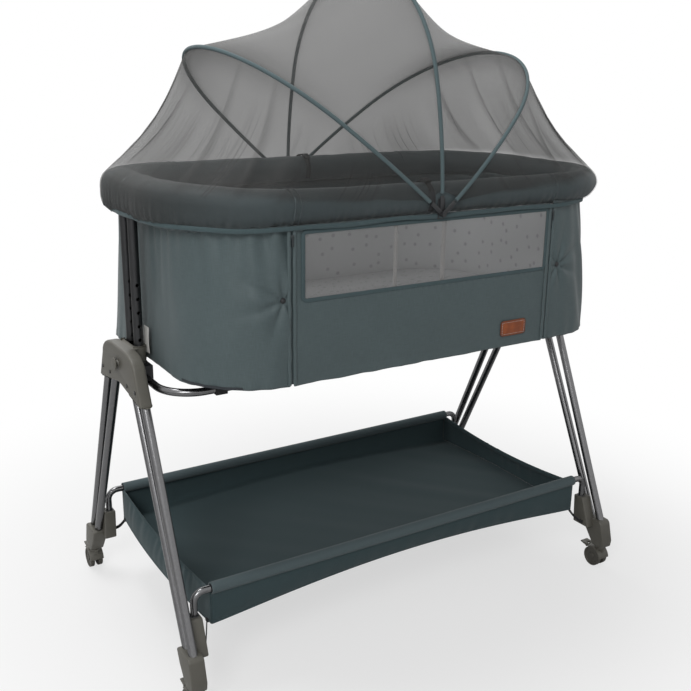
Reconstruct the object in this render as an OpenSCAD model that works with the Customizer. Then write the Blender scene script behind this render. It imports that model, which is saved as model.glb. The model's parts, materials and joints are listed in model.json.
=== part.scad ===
// Bedside cradle: a padded cot with a mesh window and a mosquito net on three hoops, carried by
// two A-shaped end stands on castors, with a fabric basket between them.
// X runs along the length, -Y is the window side, +Z is up, and the floor is Z = 0.

/* [Stand] */
// Distance from the upright ends of the basket rails out to the plane of the legs
leg_out = 20; // [20:1:40]
// Outer diameter of the steel leg tubes
leg_d = 15; // [13:0.5:16]
// Wall of the steel tubes
tube_wall = 1.2; // [0.8:0.1:2]
// Distance between the outer tubes of the front and rear legs, at their feet
foot_spread = 526; // [480:2:560]
// Distance between the two tubes of one leg, at their feet
tube_pitch = 24; // [20:1:40]
// Lean of the outer tube of each leg, in degrees
outer_lean = 23.85; // [21:0.05:25]
// Lean of the inner tube of each leg, in degrees
inner_lean = 25.55; // [24:0.05:27]
// Height of the lower ends of the leg tubes
leg_foot_z = 80; // [74:1:90]
// Height of the top of the plastic hub
hub_top = 547; // [535:1:560]
// Height of the lower ends of the hub's leg sleeves
hub_bottom = 468; // [455:1:475]
// Plastic wall round the leg tubes
hub_wall = 2.5; // [2:0.1:3.5]
// Thickness of the hub, across the leg plane
hub_w = 22; // [20:0.5:26]
// Height of the collar that guides the uprights
collar_h = 28; // [22:1:30]

/* [Feet and castors] */
// Height of the top of the foot casing
foot_top = 152; // [140:1:165]
// Height of the step between the foot's boot and its upper sleeve
boot_top = 100; // [95:1:108]
// Height of the underside of the foot
foot_bottom = 48; // [47:0.5:52]
// Width of the boot, along the cradle
boot_w = 28; // [26:1:34]
// Width of the foot's upper sleeve, along the cradle
sleeve_w = 22; // [22:1:26]
// Diameter of the castor wheels
wheel_d = 40; // [36:1:42]
// Width of one castor wheel
wheel_w = 8.5; // [7:0.5:11]
// Distance the wheel trails behind its swivel axis
castor_trail = 13; // [9:1:15]
// Diameter of the castor's swivel stem
stem_d = 8; // [6:0.5:9]

/* [Basket] */
// Diameter of the rails that carry the basket
rail_d = 12; // [10:0.5:13]
// Distance between the two basket rails
rail_span = 427; // [400:1:440]
// Height of the middle of the basket rails
rail_z = 187; // [178:1:200]
// Distance from the basket's end to the upright end of each basket rail
basket_end_gap = 30; // [22:1:55]
// Length of the basket's fabric
basket_length = 800; // [740:5:806]
// Height of the basket's floor
basket_floor_z = 122; // [114:1:140]

/* [Cot] */
// Distance from the plane of the legs in to the uprights and the middle of the rim's ends
upright_in = 20; // [18:0.5:24]
// Distance between the middles of the rim's long sides
rim_width = 464; // [440:2:480]
// Corner radius of the rim's centre line
rim_corner = 155; // [120:5:190]
// Thickness of the padded rim
rim_d = 50; // [44:1:56]
// Height of the middle of the rim
rim_z = 791; // [780:1:800]
// Diameter of the steel rail inside the rim
rim_rail_d = 16; // [14:0.5:18]
// Height of the cloth's lower edge along the sides
cloth_bottom = 516; // [512:1:520]
// Rise of the cloth's lower edge round the ends
cloth_end_rise = 14; // [0:1:20]
// Distance from the middle line of the rim's ends in to the cloth's outer face, at its lower edge
cloth_end_in = 16; // [14:1:25]
// Distance from the middle line of the rim's sides out to the cloth's outer face
cloth_side_out = 20; // [14:1:22]
// Corner radius of the cloth at its lower edge
cloth_corner = 120; // [100:5:140]
// Depth of the folds in the cloth at the ends
fold_depth = 1.6; // [0:0.1:2]
// Thickness of the outer cloth with its padding
cloth_t = 2.5; // [2:0.1:3]
// Height of the underside of the base board
board_z = 522; // [520:1:526]
// Thickness of the base board
board_t = 4; // [3:0.5:6]
// Thickness of the mattress
mattress_t = 32; // [20:1:40]

/* [Drop-down panel] */
// Distance from the middle of the cot to the middle of the drop-down panel
panel_x = -11; // [-20:1:20]
// Width of the cloth between the window and the zips
zip_margin = 16; // [12:1:25]
// Height of the fold that the panel drops from
panel_low = 536; // [534:1:545]
// Furthest drop of the panel, in degrees
panel_drop = 165; // [90:5:170]
// Distance from the middle of the cot to the middle of the mesh windows
window_x = -6; // [-15:1:5]
// Width of the mesh windows
window_w = 486; // [460:2:488]
// Height of the lower edge of the mesh windows
window_low = 655; // [630:1:680]
// Height of the upper edge of the mesh windows
window_high = 757; // [740:1:760]

/* [Uprights] */
// Diameter of the telescopic uprights
upright_d = 16; // [14:0.5:17]
// Distance between the two uprights of one end
upright_pitch = 36; // [32:1:40]
// Distance between the locking holes
hole_pitch = 23; // [20:0.5:25]
// Number of height settings below the highest one
height_steps = 5; // [3:1:5]
// Diameter of the locking holes
hole_d = 6; // [5:0.5:7]
// Diameter of the base tube under the cot
base_tube_d = 13; // [11:0.5:14]
// Height of the middle of the base tube
base_tube_z = 494; // [490:1:495]
// Half the width of the base tube's loop
base_half_w = 138; // [110:1:150]

/* [Mosquito net] */
// Height of the hoops above their pivots
hoop_rise = 392; // [340:1:420]
// Radius of the top of the hoops
hoop_crown = 240; // [225:1:245]
// Diameter of the hoops with their binding
hoop_d = 5; // [4:0.5:5.5]
// Lean of the two side hoops away from the middle one, in degrees
hoop_lean = 50; // [40:1:58]
// Height of the hoops' pivots
pivot_z = 768; // [762:1:775]
// Sag of the net between its hoops
net_sag = 26; // [0:1:40]
// Thickness of the net's solid
net_t = 1; // [0.8:0.1:1.5]

/* [Hidden] */

$fn = 48;
eps = 0.01;
// Clearances: a tube in its socket, a sliding upright, a shaft that turns, and cloth beside a piece
socket_gap = 0.1;
slide_gap = 0.2;
shaft_gap = 0.05;
rest_gap = 0.3;

steel = [0.62, 0.62, 0.64];
dark_steel = [0.33, 0.34, 0.35];
taupe = [0.36, 0.35, 0.32];
black = [0.07, 0.07, 0.08];
cloth_colour = [0.28, 0.33, 0.35];
rim_colour = [0.20, 0.24, 0.25];
lining_colour = [0.52, 0.51, 0.50];
net_colour = [0.45, 0.45, 0.44];
leather = [0.49, 0.24, 0.10];

// Stand: lines of the leg tubes, for a leg on the +Y side
leg_x = basket_length / 2 + basket_end_gap + leg_out;
outer_foot_y = foot_spread / 2;
inner_foot_y = outer_foot_y - tube_pitch;
outer_top_z = hub_top - 32;
inner_top_z = hub_top - 43;
function outer_y(z) = outer_foot_y - (z - leg_foot_z) * tan(outer_lean);
function inner_y(z) = inner_foot_y - (z - leg_foot_z) * tan(inner_lean);
sleeve_edge = (leg_d / 2 + hub_wall) / cos(outer_lean);

// Uprights: their plane lies inside the legs' plane
rim_length = 2 * (leg_x - upright_in);
upright_x = rim_length / 2;
upright_y = upright_pitch / 2;
hub_inner_x = leg_x - leg_d / 2 - 2;
hub_outer_x = hub_inner_x + hub_w;
collar_top = hub_top + 2;
collar_bottom = collar_top - collar_h;
collar_wall = 3.3;
collar_inner_x = upright_x - upright_d / 2 - slide_gap - collar_wall;
latch_z = collar_bottom + 15;
upright_bottom = base_tube_z + base_tube_d / 2 + 2.5;
rim_rail_r = rim_rail_d / 2;
upright_top = rim_z - rim_rail_r - 3;

// Height latch: button, pins and the pocket in the hub that holds them
button_z = 517;
button_r = 11;
button_stem_r = 6;
button_travel = 4;
pin_r = 2.5;
pocket_x = hub_inner_x + 3.5;
pocket_wall = 2.5;
pocket_half_w = upright_y + 6;
pocket_low = inner_top_z + 4;
pocket_high = latch_z + 5;
latch_plate_t = 2.5;

// Feet and castors
rail_length = basket_length + 2 * basket_end_gap;
socket_x = rail_length / 2;
socket_half_w = 9.5;
socket_low = 80;
socket_top = 147;
rail_end_z = 106;
rail_bend = 18;
wheel_r = wheel_d / 2;
wheel_gap = 0.5;
web_half_w = 3.5;
hood_gap = 1;
hood_t = 2.2;
axle_r = 3;
stem_top = foot_bottom + 22;
brake_y = castor_trail + 18.2;
brake_z = wheel_r + 16.4;
brake_pin_r = 1.5;
brake_eye_r = 3.2;
castor_y = outer_foot_y - 1;

// Cot
rim_half_l = rim_length / 2;
rim_half_w = rim_width / 2;
rim_r = rim_d / 2;
cloth_half_l = rim_half_l - cloth_end_in;
cloth_half_w = rim_half_w + cloth_side_out;
zip_span = window_w + 2 * zip_margin;
cloth_top = rim_z - sqrt(pow(rim_r, 2) - pow(cloth_side_out - cloth_t, 2)) - rest_gap / 2;
cloth_top_half_l = cloth_half_l - 6;
cloth_top_corner = cloth_corner + 20;
lining_gap = 9;
lining_t = 2;
lining_half_w = cloth_half_w - cloth_t - lining_gap;
lining_half_l = cloth_half_l - cloth_t - lining_gap;
lining_corner = cloth_top_corner - cloth_t - lining_gap;
board_top = board_z + board_t;
lining_top = rim_z - rim_r - rest_gap;
front_y = -cloth_half_w;
front_zip_x = [panel_x - zip_span / 2, panel_x + zip_span / 2];

// Mosquito net: layers of the hoops' flat ends along the pivot pin
plate_t = 1.2;
tongue_t = 2;
plate_y = rim_half_w + rim_r + rest_gap / 2;
layer_pitch = tongue_t + rest_gap;
middle_y = plate_y + plate_t + rest_gap + tongue_t / 2;
left_y = middle_y + layer_pitch;
right_y = left_y + layer_pitch;
pin_end_y = right_y + tongue_t / 2 + rest_gap;
pivot_r = 2;
tongue_h = 30;
rod_start_h = 26;
hoop_centre_h = hoop_rise - hoop_crown;

// Shared shapes

// A slab of the given width along X, from an outline whose axes are Y and Z
module x_slab(x, w) {
    translate([x - w / 2, 0, 0]) rotate([90, 0, 90]) linear_extrude(w) children();
}

// Puts a piece made for the +X, +Y corner into another corner
module corner(sx, sy) {
    mirror([sx < 0 ? 1 : 0, 0, 0]) mirror([0, sy < 0 ? 1 : 0, 0]) children();
}

// Sweeps a profile round a rounded rectangle; the profile's X points outwards
module ring(half_l, half_w, r) {
    for (k = [0:3]) {
        a = k % 2 == 0 ? half_l : half_w;
        b = k % 2 == 0 ? half_w : half_l;
        rotate([0, 0, 90 * k]) {
            translate([a, b - r, 0]) rotate([90, 0, 0]) linear_extrude(2 * (b - r)) children();
            translate([a - r, b - r, 0]) rotate_extrude(angle = 90) translate([r, 0]) children();
        }
    }
}

// A flat plate with rounded corners
module rounded_plate(half_l, half_w, r, t) {
    translate([-half_l + r, -half_w, 0]) cube([2 * (half_l - r), 2 * half_w, t]);
    translate([-half_l, -half_w + r, 0]) cube([2 * half_l, 2 * (half_w - r), t]);
    for (sx = [-1, 1], sy = [-1, 1]) translate([sx * (half_l - r), sy * (half_w - r), 0])
        cylinder(r = r, h = t);
}

// Tube profile, and a straight tube along Z
module tube_profile(d) {
    difference() {
        circle(d = d);
        circle(d = d - 2 * tube_wall);
    }
}
module tube(d, h) {
    linear_extrude(h) tube_profile(d);
}

// Places a leg tube, or its bore, on the line of the outer or inner tube, from z0 up to z1
module on_leg_line(foot_y, lean, z0, z1) {
    y0 = foot_y - (z0 - leg_foot_z) * tan(lean);
    translate([leg_x, y0, z0]) rotate([lean, 0, 0]) linear_extrude((z1 - z0) / cos(lean)) children();
}

// Closed solid from a grid of points: rows of equal length, given a thickness along the normals
function grid_normal(p, i, j, wrap) =
    let (m = len(p) - 1, n = len(p[0]) - 1,
        a = p[min(i + 1, m)][j] - p[max(i - 1, 0)][j],
        b = wrap ? p[i][(j + 1) % (n + 1)] - p[i][(j + n) % (n + 1)]
            : p[i][min(j + 1, n)] - p[i][max(j - 1, 0)],
        c = cross(a, b))
    c / norm(c);
function grid_points(p, t, wrap) = concat(
    [for (i = [0:len(p) - 1], j = [0:len(p[0]) - 1]) p[i][j]],
    [for (i = [0:len(p) - 1], j = [0:len(p[0]) - 1]) p[i][j] - t * grid_normal(p, i, j, wrap)]);
function quad(a, b, c, d) = [[a, b, c], [a, c, d]];
function flat(l) = [for (a = l, b = a) b];
function grid_faces(m, n, wrap) =
    let (w = n + 1, s = (m + 1) * w, last = wrap ? n : n - 1)
    flat(concat(
        [for (i = [0:m - 1], j = [0:last])
            quad(i * w + j, i * w + (j + 1) % w, (i + 1) * w + (j + 1) % w, (i + 1) * w + j)],
        [for (i = [0:m - 1], j = [0:last])
            quad(s + i * w + j, s + (i + 1) * w + j, s + (i + 1) * w + (j + 1) % w, s + i * w + (j + 1) % w)],
        [for (j = [0:last]) quad(j, s + j, s + (j + 1) % w, (j + 1) % w)],
        [for (j = [0:last]) quad(m * w + j, m * w + (j + 1) % w, s + m * w + (j + 1) % w, s + m * w + j)],
        wrap ? [] : [for (i = [0:m - 1]) quad(i * w, (i + 1) * w, s + (i + 1) * w, s + i * w)],
        wrap ? [] : [for (i = [0:m - 1])
            quad(i * w + n, s + i * w + n, s + (i + 1) * w + n, (i + 1) * w + n)]));
module grid_solid(p, t, wrap) {
    polyhedron(grid_points(p, t, wrap), grid_faces(len(p) - 1, len(p[0]) - 1, wrap));
}

// End stands

hub_shoulder_z = hub_top - 29;
hub_crown_y = 30;
function hub_half_outline() = concat(
    [[0, hub_bottom + 16], [inner_y(hub_bottom + 10) - sleeve_edge, hub_bottom + 10],
        [outer_y(hub_bottom) + sleeve_edge, hub_bottom]],
    [for (a = [0:15:90]) [
        hub_crown_y + (outer_y(hub_shoulder_z) + sleeve_edge - hub_crown_y) * cos(a),
        hub_shoulder_z + (hub_top - hub_shoulder_z) * sin(a)]],
    [[0, hub_top]]);

module hub_block() {
    x_slab((hub_inner_x + hub_outer_x) / 2, hub_w) {
        polygon(hub_half_outline());
        mirror([1, 0]) polygon(hub_half_outline());
    }
    collar_end_x = hub_inner_x + 1;
    translate([collar_inner_x, -upright_y, collar_bottom])
        cube([collar_end_x - collar_inner_x, upright_pitch, collar_h]);
    for (s = [-1, 1]) {
        translate([upright_x, s * upright_y, collar_bottom])
            cylinder(r = upright_x - collar_inner_x, h = collar_h);
        translate([upright_x, s > 0 ? 0 : -upright_y - upright_x + collar_inner_x, collar_bottom])
            cube([collar_end_x - upright_x, upright_y + upright_x - collar_inner_x, collar_h]);
    }
}

module hub() {
    color(taupe) difference() {
        hub_block();
        for (s = [-1, 1]) {
            translate([upright_x, s * upright_y, collar_bottom - 1])
                cylinder(d = upright_d + 2 * slide_gap, h = collar_h + 2);
            translate([upright_x, s * upright_y, latch_z]) rotate([0, 90, 0])
                cylinder(r = pin_r + socket_gap, h = pocket_x - upright_x + 1);
            corner(1, s) {
                on_leg_line(outer_foot_y, outer_lean, hub_bottom - 20, outer_top_z)
                    circle(d = leg_d + 2 * socket_gap);
                on_leg_line(inner_foot_y, inner_lean, hub_bottom - 20, inner_top_z)
                    circle(d = leg_d + 2 * socket_gap);
            }
        }
        translate([pocket_x, -pocket_half_w, pocket_low])
            cube([hub_outer_x - pocket_wall - pocket_x, 2 * pocket_half_w, pocket_high - pocket_low]);
        translate([pocket_x, 0, button_z]) rotate([0, 90, 0])
            cylinder(r = button_stem_r + socket_gap, h = hub_w);
    }
}

module leg() {
    color(steel) {
        on_leg_line(outer_foot_y, outer_lean, leg_foot_z, outer_top_z) tube_profile(leg_d);
        on_leg_line(inner_foot_y, inner_lean, leg_foot_z, inner_top_z) tube_profile(leg_d);
    }
}

module foot() {
    sleeve_r = sleeve_edge + 0.5;
    color(taupe) difference() {
        union() {
            x_slab(leg_x, sleeve_w) polygon([
                [inner_y(foot_top) - sleeve_r, foot_top], [outer_y(foot_top) + sleeve_r, foot_top],
                [outer_y(boot_top - 5) + sleeve_r, boot_top - 5],
                [inner_y(boot_top - 5) - sleeve_r, boot_top - 5]]);
            x_slab(leg_x, boot_w) polygon([
                [inner_y(boot_top) - sleeve_r - 1.5, boot_top],
                [outer_y(boot_top) + sleeve_r + 1.5, boot_top],
                [castor_y + 15, foot_bottom + 14], [castor_y + 13, foot_bottom], [castor_y - 13, foot_bottom],
                [inner_foot_y - sleeve_r - 1, leg_foot_z - 2]]);
            socket_end_x = leg_x - sleeve_w / 2 + 2;
            socket_w = socket_end_x - socket_x + socket_half_w;
            x_slab(socket_end_x - socket_w / 2, socket_w) polygon([
                [rail_span / 2 - 11, socket_top], [rail_span / 2 + 13, socket_top],
                [rail_span / 2 + 37, socket_low], [rail_span / 2 - 9, socket_low]]);
        }
        on_leg_line(outer_foot_y, outer_lean, leg_foot_z, foot_top + 20) circle(d = leg_d + 2 * socket_gap);
        on_leg_line(inner_foot_y, inner_lean, leg_foot_z, foot_top + 20) circle(d = leg_d + 2 * socket_gap);
        translate([socket_x, rail_span / 2, rail_end_z - 1]) cylinder(d = rail_d + 2 * socket_gap, h = 60);
        translate([leg_x, castor_y, foot_bottom - 1])
            cylinder(d = stem_d + 2 * shaft_gap, h = stem_top - foot_bottom + 1.5);
    }
}

// Rivet heads over the tube ends, on the outer faces of the hubs and feet
rivet_r = 3.2;
rivet_h = 1.4;
hub_rivet_z = hub_bottom + 22;
foot_rivet_z = foot_top - 22;
module stand_rivets() {
    color(dark_steel) for (sx = [-1, 1], sy = [-1, 1]) corner(sx, sy) {
        for (y = [outer_y(hub_rivet_z), inner_y(hub_rivet_z)])
            translate([hub_outer_x, y, hub_rivet_z]) rotate([0, 90, 0]) cylinder(r = rivet_r, h = rivet_h);
        for (y = [outer_y(foot_rivet_z), inner_y(foot_rivet_z)])
            translate([leg_x + sleeve_w / 2, y, foot_rivet_z]) rotate([0, 90, 0])
                cylinder(r = rivet_r, h = rivet_h);
    }
}

// Height latch

module button() {
    color(taupe) {
        translate([hub_outer_x + button_travel + rest_gap, 0, button_z]) rotate([0, 90, 0])
            cylinder(r = button_r, h = 2.5);
        translate([pocket_x + button_travel + 1, 0, button_z]) rotate([0, 90, 0])
            cylinder(r = button_stem_r, h = hub_outer_x + rest_gap + 1 - pocket_x);
    }
}

module latch() {
    plate_x = pocket_x + 1;
    pin_tip_x = upright_x + upright_d / 2 + slide_gap + rest_gap;
    color(dark_steel) difference() {
        union() {
            translate([plate_x, -pocket_half_w + 1, pocket_low + 0.5])
                cube([latch_plate_t, 2 * pocket_half_w - 2, pocket_high - pocket_low - 1]);
            for (s = [-1, 1]) translate([pin_tip_x, s * upright_y, latch_z]) rotate([0, 90, 0])
                cylinder(r = pin_r, h = plate_x + 1 - pin_tip_x);
        }
        translate([plate_x - 1, 0, button_z]) rotate([0, 90, 0])
            cylinder(r = button_stem_r + 1, h = latch_plate_t + 2);
    }
}

// Castors: the wheels trail towards +Y, as they stand in use

module at_castor(sx, sy) {
    translate([sx * leg_x, sy * castor_y, 0]) children();
}

module castor_fork() {
    hood_r = wheel_r + hood_gap;
    hood_w = 2 * (web_half_w + wheel_gap + wheel_w + 1);
    color(taupe) {
        stem_low = wheel_r + hood_r + hood_t - 2;
        translate([0, 0, stem_low]) cylinder(d = stem_d, h = stem_top - stem_low);
        translate([0, 0, wheel_r + hood_r - 0.4]) cylinder(r = 9, h = hood_t + 2.4);
        x_slab(0, hood_w) intersection() {
            translate([castor_trail, wheel_r]) difference() {
                circle(r = hood_r + hood_t);
                circle(r = hood_r);
            }
            translate([castor_trail, wheel_r]) polygon([[0, 0], [30, 48], [0, 60], [-60, 30], [-40, 4]]);
        }
        difference() {
            union() {
                x_slab(0, 2 * web_half_w) {
                    translate([castor_trail, wheel_r]) circle(r = 9);
                    polygon([[castor_trail - 9, wheel_r], [castor_trail + 9, wheel_r],
                        [brake_y + 1, brake_z - 3], [brake_y, brake_z + 2.4],
                        [castor_trail, wheel_r + hood_r + 0.5],
                        [-8, wheel_r + hood_r + 1], [-8, wheel_r + hood_r - 6]]);
                }
                translate([-10, brake_y, brake_z]) rotate([0, 90, 0]) cylinder(r = brake_pin_r, h = 20);
            }
            translate([-10, castor_trail, wheel_r]) rotate([0, 90, 0])
                cylinder(r = axle_r + shaft_gap, h = 20);
        }
    }
}

module castor_wheels() {
    wheel_in = web_half_w + wheel_gap;
    color(black) {
        for (s = [-1, 1]) translate([s > 0 ? wheel_in : -wheel_in - wheel_w, castor_trail, wheel_r])
            rotate([0, 90, 0]) difference() {
                cylinder(d = wheel_d, h = wheel_w);
                translate([0, 0, s > 0 ? wheel_w - 2 : -1]) difference() {
                    cylinder(r = wheel_r - 4, h = 3);
                    translate([0, 0, -1]) cylinder(r = 6, h = 5);
                }
            }
        translate([-web_half_w - 1, castor_trail, wheel_r]) rotate([0, 90, 0])
            cylinder(r = axle_r, h = 2 * web_half_w + 2);
    }
}

module castor_brake() {
    ear_in = web_half_w + wheel_gap;
    color(taupe) difference() {
        union() {
            for (s = [-1, 1]) x_slab(s * (ear_in + 2.5), 5) {
                translate([brake_y, brake_z]) circle(r = brake_eye_r);
                polygon([[brake_y, brake_z + brake_eye_r], [brake_y + 16, brake_z + 3.5],
                    [brake_y + 17, brake_z + 1], [brake_y + 2, brake_z - 1.5]]);
            }
            x_slab(0, 2 * ear_in + 6) polygon([
                [brake_y + 5, brake_z + brake_eye_r], [brake_y + 16, brake_z + 3.5],
                [brake_y + 17, brake_z + 1], [brake_y + 5, brake_z - 0.5]]);
        }
        translate([-15, brake_y, brake_z]) rotate([0, 90, 0]) cylinder(r = brake_pin_r + shaft_gap, h = 30);
    }
}

// Basket

// Steel rails along X, each with its two ends turned down into the feet
module basket_rails() {
    color(steel) for (sy = [-1, 1]) corner(1, sy) {
        translate([-socket_x + rail_bend, rail_span / 2, rail_z]) rotate([0, 90, 0])
            tube(rail_d, rail_length - 2 * rail_bend);
        for (s = [-1, 1]) corner(s, 1) {
            translate([socket_x - rail_bend, rail_span / 2, rail_z - rail_bend]) rotate([90, 0, 0])
                rotate_extrude(angle = 90) translate([rail_bend, 0]) tube_profile(rail_d);
            translate([socket_x, rail_span / 2, rail_end_z])
                tube(rail_d, rail_z - rail_bend - rail_end_z);
        }
    }
}

basket_t = 2;
basket_sleeve_r = rail_d / 2 + socket_gap + 2;
basket_end_sag = 14;
module basket() {
    half_l = basket_length / 2;
    half_w = rail_span / 2;
    end_top = rail_z - 4;
    color(cloth_colour) difference() {
        union() {
            translate([-half_l, -half_w, basket_floor_z]) cube([basket_length, rail_span, basket_t]);
            for (s = [-1, 1]) {
                translate([-half_l, s * half_w - basket_t / 2, basket_floor_z])
                    cube([basket_length, basket_t, rail_z - basket_floor_z]);
                translate([-half_l, s * half_w, rail_z]) rotate([0, 90, 0])
                    cylinder(r = basket_sleeve_r, h = basket_length);
                x_slab(s * (half_l - basket_t / 2), basket_t) polygon(concat(
                    [[half_w, basket_floor_z], [-half_w, basket_floor_z]],
                    [for (k = [-8:8]) [half_w * k / 8, end_top - basket_end_sag * (1 - pow(k / 8, 2))]]));
            }
        }
        for (s = [-1, 1]) translate([-half_l - 1, s * half_w, rail_z]) rotate([0, 90, 0])
            cylinder(d = rail_d + 2 * socket_gap, h = basket_length + 2);
    }
}

// Elastic straps from the basket's lower corners to the feet
strap_tab = 4.5;
strap_w = 6;
strap_foot = [socket_x - socket_half_w - strap_tab + 1, rail_span / 2 + 14, socket_low + 7];
strap_top = [basket_length / 2 + strap_tab - 1, rail_span / 2 - 12, basket_floor_z + 1];
module basket_straps() {
    along = strap_foot - strap_top;
    color(black) for (sx = [-1, 1], sy = [-1, 1]) corner(sx, sy) {
        translate(strap_top) rotate([0, acos(along[2] / norm(along)), atan2(along[1], along[0])])
            translate([-0.7, -strap_w / 2, 0]) cube([1.4, strap_w, norm(along)]);
        translate(strap_foot - [1, 4, 5]) cube([strap_tab, 8, 8]);
        translate([basket_length / 2, strap_top[1] - 4, strap_top[2] - 1]) cube([strap_tab, 8, 5]);
    }
}

// Cot frame

module uprights() {
    color(dark_steel) difference() {
        for (s = [-1, 1]) translate([upright_x, s * upright_y, upright_bottom])
            tube(upright_d, upright_top - upright_bottom);
        for (k = [0:height_steps]) translate([upright_x, -upright_y - upright_d, latch_z + k * hole_pitch])
            rotate([-90, 0, 0]) cylinder(d = hole_d, h = upright_pitch + 2 * upright_d);
    }
}

module rim_rail() {
    color(steel) translate([0, 0, rim_z]) ring(rim_half_l, rim_half_w, rim_corner) tube_profile(rim_rail_d);
}

joint_half_w = 10.5;
joint_half_y = upright_y + upright_d / 2 + 5;
joint_low = rim_z - rim_r - 4;
joint_high = rim_z + rim_rail_r + 3;
module rail_joints() {
    color(black) for (sx = [-1, 1]) corner(sx, 1) difference() {
        translate([upright_x - joint_half_w, -joint_half_y, joint_low])
            cube([2 * joint_half_w, 2 * joint_half_y, joint_high - joint_low]);
        translate([upright_x, -joint_half_y - 1, rim_z]) rotate([-90, 0, 0])
            cylinder(d = rim_rail_d + 2 * socket_gap, h = 2 * joint_half_y + 2);
        for (s = [-1, 1]) translate([upright_x, s * upright_y, joint_low - 1])
            cylinder(d = upright_d + 2 * socket_gap, h = upright_top - joint_low + 1);
    }
}

base_half_l = upright_x - 5;
base_corner = 60;
module base_frame() {
    color(steel) translate([0, 0, base_tube_z])
        ring(base_half_l, base_half_w, base_corner) tube_profile(base_tube_d);
}

module base_brackets() {
    low = base_tube_z - base_tube_d / 2 - 3.5;
    high = upright_bottom + 12;
    inner = base_half_l - base_tube_d / 2 - 6;
    outer = upright_x + upright_d / 2 + 1.7;
    half_y = upright_y + upright_d / 2 + 6;
    color(black) for (sx = [-1, 1]) corner(sx, 1) difference() {
        translate([inner, -half_y, low]) cube([outer - inner, 2 * half_y, high - low]);
        translate([base_half_l, -half_y - 1, base_tube_z]) rotate([-90, 0, 0])
            cylinder(d = base_tube_d + 2 * socket_gap, h = 2 * half_y + 2);
        for (s = [-1, 1]) translate([upright_x, s * upright_y, upright_bottom])
            cylinder(d = upright_d + 2 * socket_gap, h = high - upright_bottom + 1);
    }
}

// Webbing loops that hang the base tube under the board
loop_w = 20;
loop_x = base_half_l - base_corner - 25;
module base_loops() {
    low = base_tube_z - base_tube_d / 2 - 1.5;
    bore_r = base_tube_d / 2 + socket_gap;
    color(black) for (x = [-loop_x, 0, loop_x], sy = [-1, 1]) translate([x, sy * base_half_w, 0])
        difference() {
            translate([-loop_w / 2, -base_tube_d / 2 - 1.5, low])
                cube([loop_w, base_tube_d + 3, board_z - low]);
            translate([-loop_w, 0, base_tube_z]) rotate([0, 90, 0]) cylinder(r = bore_r, h = 2 * loop_w);
            translate([-loop_w, -base_tube_d / 2, base_tube_z])
                cube([2 * loop_w, base_tube_d, board_z - base_tube_z - 1.5]);
        }
}

module base_board() {
    edge = cloth_t + 3 * rest_gap;
    color(lining_colour) translate([0, 0, board_z])
        rounded_plate(cloth_half_l - edge - 1, cloth_half_w - edge, cloth_corner, board_t);
}

// Cot soft goods

// Points of a rounded rectangle as [x, y, outward x, outward y], with arcs of n steps and the long
// and short sides cut into side_n and end_n steps
function outline(half_l, half_w, r, n, side_n, end_n) = flat([for (q = [0:3])
    let (sx = q == 0 || q == 3 ? 1 : -1, sy = q < 2 ? 1 : -1, cx = sx * (half_l - r), cy = sy * (half_w - r),
        count = q % 2 == 0 ? side_n : end_n,
        long = half_l - r, short = half_w - r,
        next = q == 0 ? [-1, 0, long] : q == 1 ? [0, -1, short] : q == 2 ? [1, 0, long] : [0, 1, short],
        a1 = 90 * q + 90)
    concat(
        [for (k = [0:n]) let (a = 90 * q + 90 * k / n) [cx + r * cos(a), cy + r * sin(a), cos(a), sin(a)]],
        [for (k = [1:count - 1]) let (d = 2 * next[2] * k / count)
            [cx + r * cos(a1) + next[0] * d, cy + r * sin(a1) + next[1] * d, cos(a1), sin(a1)]])]);

// Outward swing of the folds: none on the flat sides, where the window and the zips lie
function end_weight(nx) = pow(abs(nx), 2);
function fold(a, f) = fold_depth * sin(7 * a) * sin(180 * f);
cloth_rows = 6;
// Distance out of the rim's middle line, and the height of the roll's underside there less a clearance
function rim_out(x, y) =
    let (a = abs(x) - rim_half_l + rim_corner, b = abs(y) - rim_half_w + rim_corner)
    norm([max(a, 0), max(b, 0)]) + min(max(a, b), 0) - rim_corner;
function under_rim(x, y) =
    let (d = rim_out(x, y) - cloth_t / 2, off = max(0, abs(d) - cloth_t / 2 - 1))
    rim_z - sqrt(pow(rim_r, 2) - pow(min(off, rim_r), 2)) - rest_gap;
function cloth_row(f) =
    let (half_l = cloth_half_l + (cloth_top_half_l - cloth_half_l) * f,
        r = cloth_corner + (cloth_top_corner - cloth_corner) * f)
    [for (p = outline(half_l, cloth_half_w, r, 9, 6, 4))
        let (w = end_weight(p[2]), a = atan2(p[1], p[0]), d = fold(a, f) * w,
            low = cloth_bottom + cloth_end_rise * w, high = under_rim(p[0], p[1]))
        [p[0] + p[2] * d, p[1] + p[3] * d, low + (high - low) * f]];

// Cuts for a mesh window in the wall at y, and for the drop-down panel and its way out in the front
module window_cut(y) {
    translate([window_x - window_w / 2, y - 20, window_low]) cube([window_w, 40, window_high - window_low]);
}
module panel_cut(inset) {
    low = panel_low - fold_cord_r - 0.15 - rest_gap;
    translate([front_zip_x[0] + inset, front_y - 20, low])
        cube([zip_span - 2 * inset, 40, cloth_top - low + 20]);
}

module outer_cloth() {
    color(cloth_colour) difference() {
        grid_solid([for (i = [0:cloth_rows]) cloth_row(1 - i / cloth_rows)], cloth_t, true);
        window_cut(cloth_half_w);
        panel_cut(panel_inset - rest_gap);
    }
}

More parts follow.
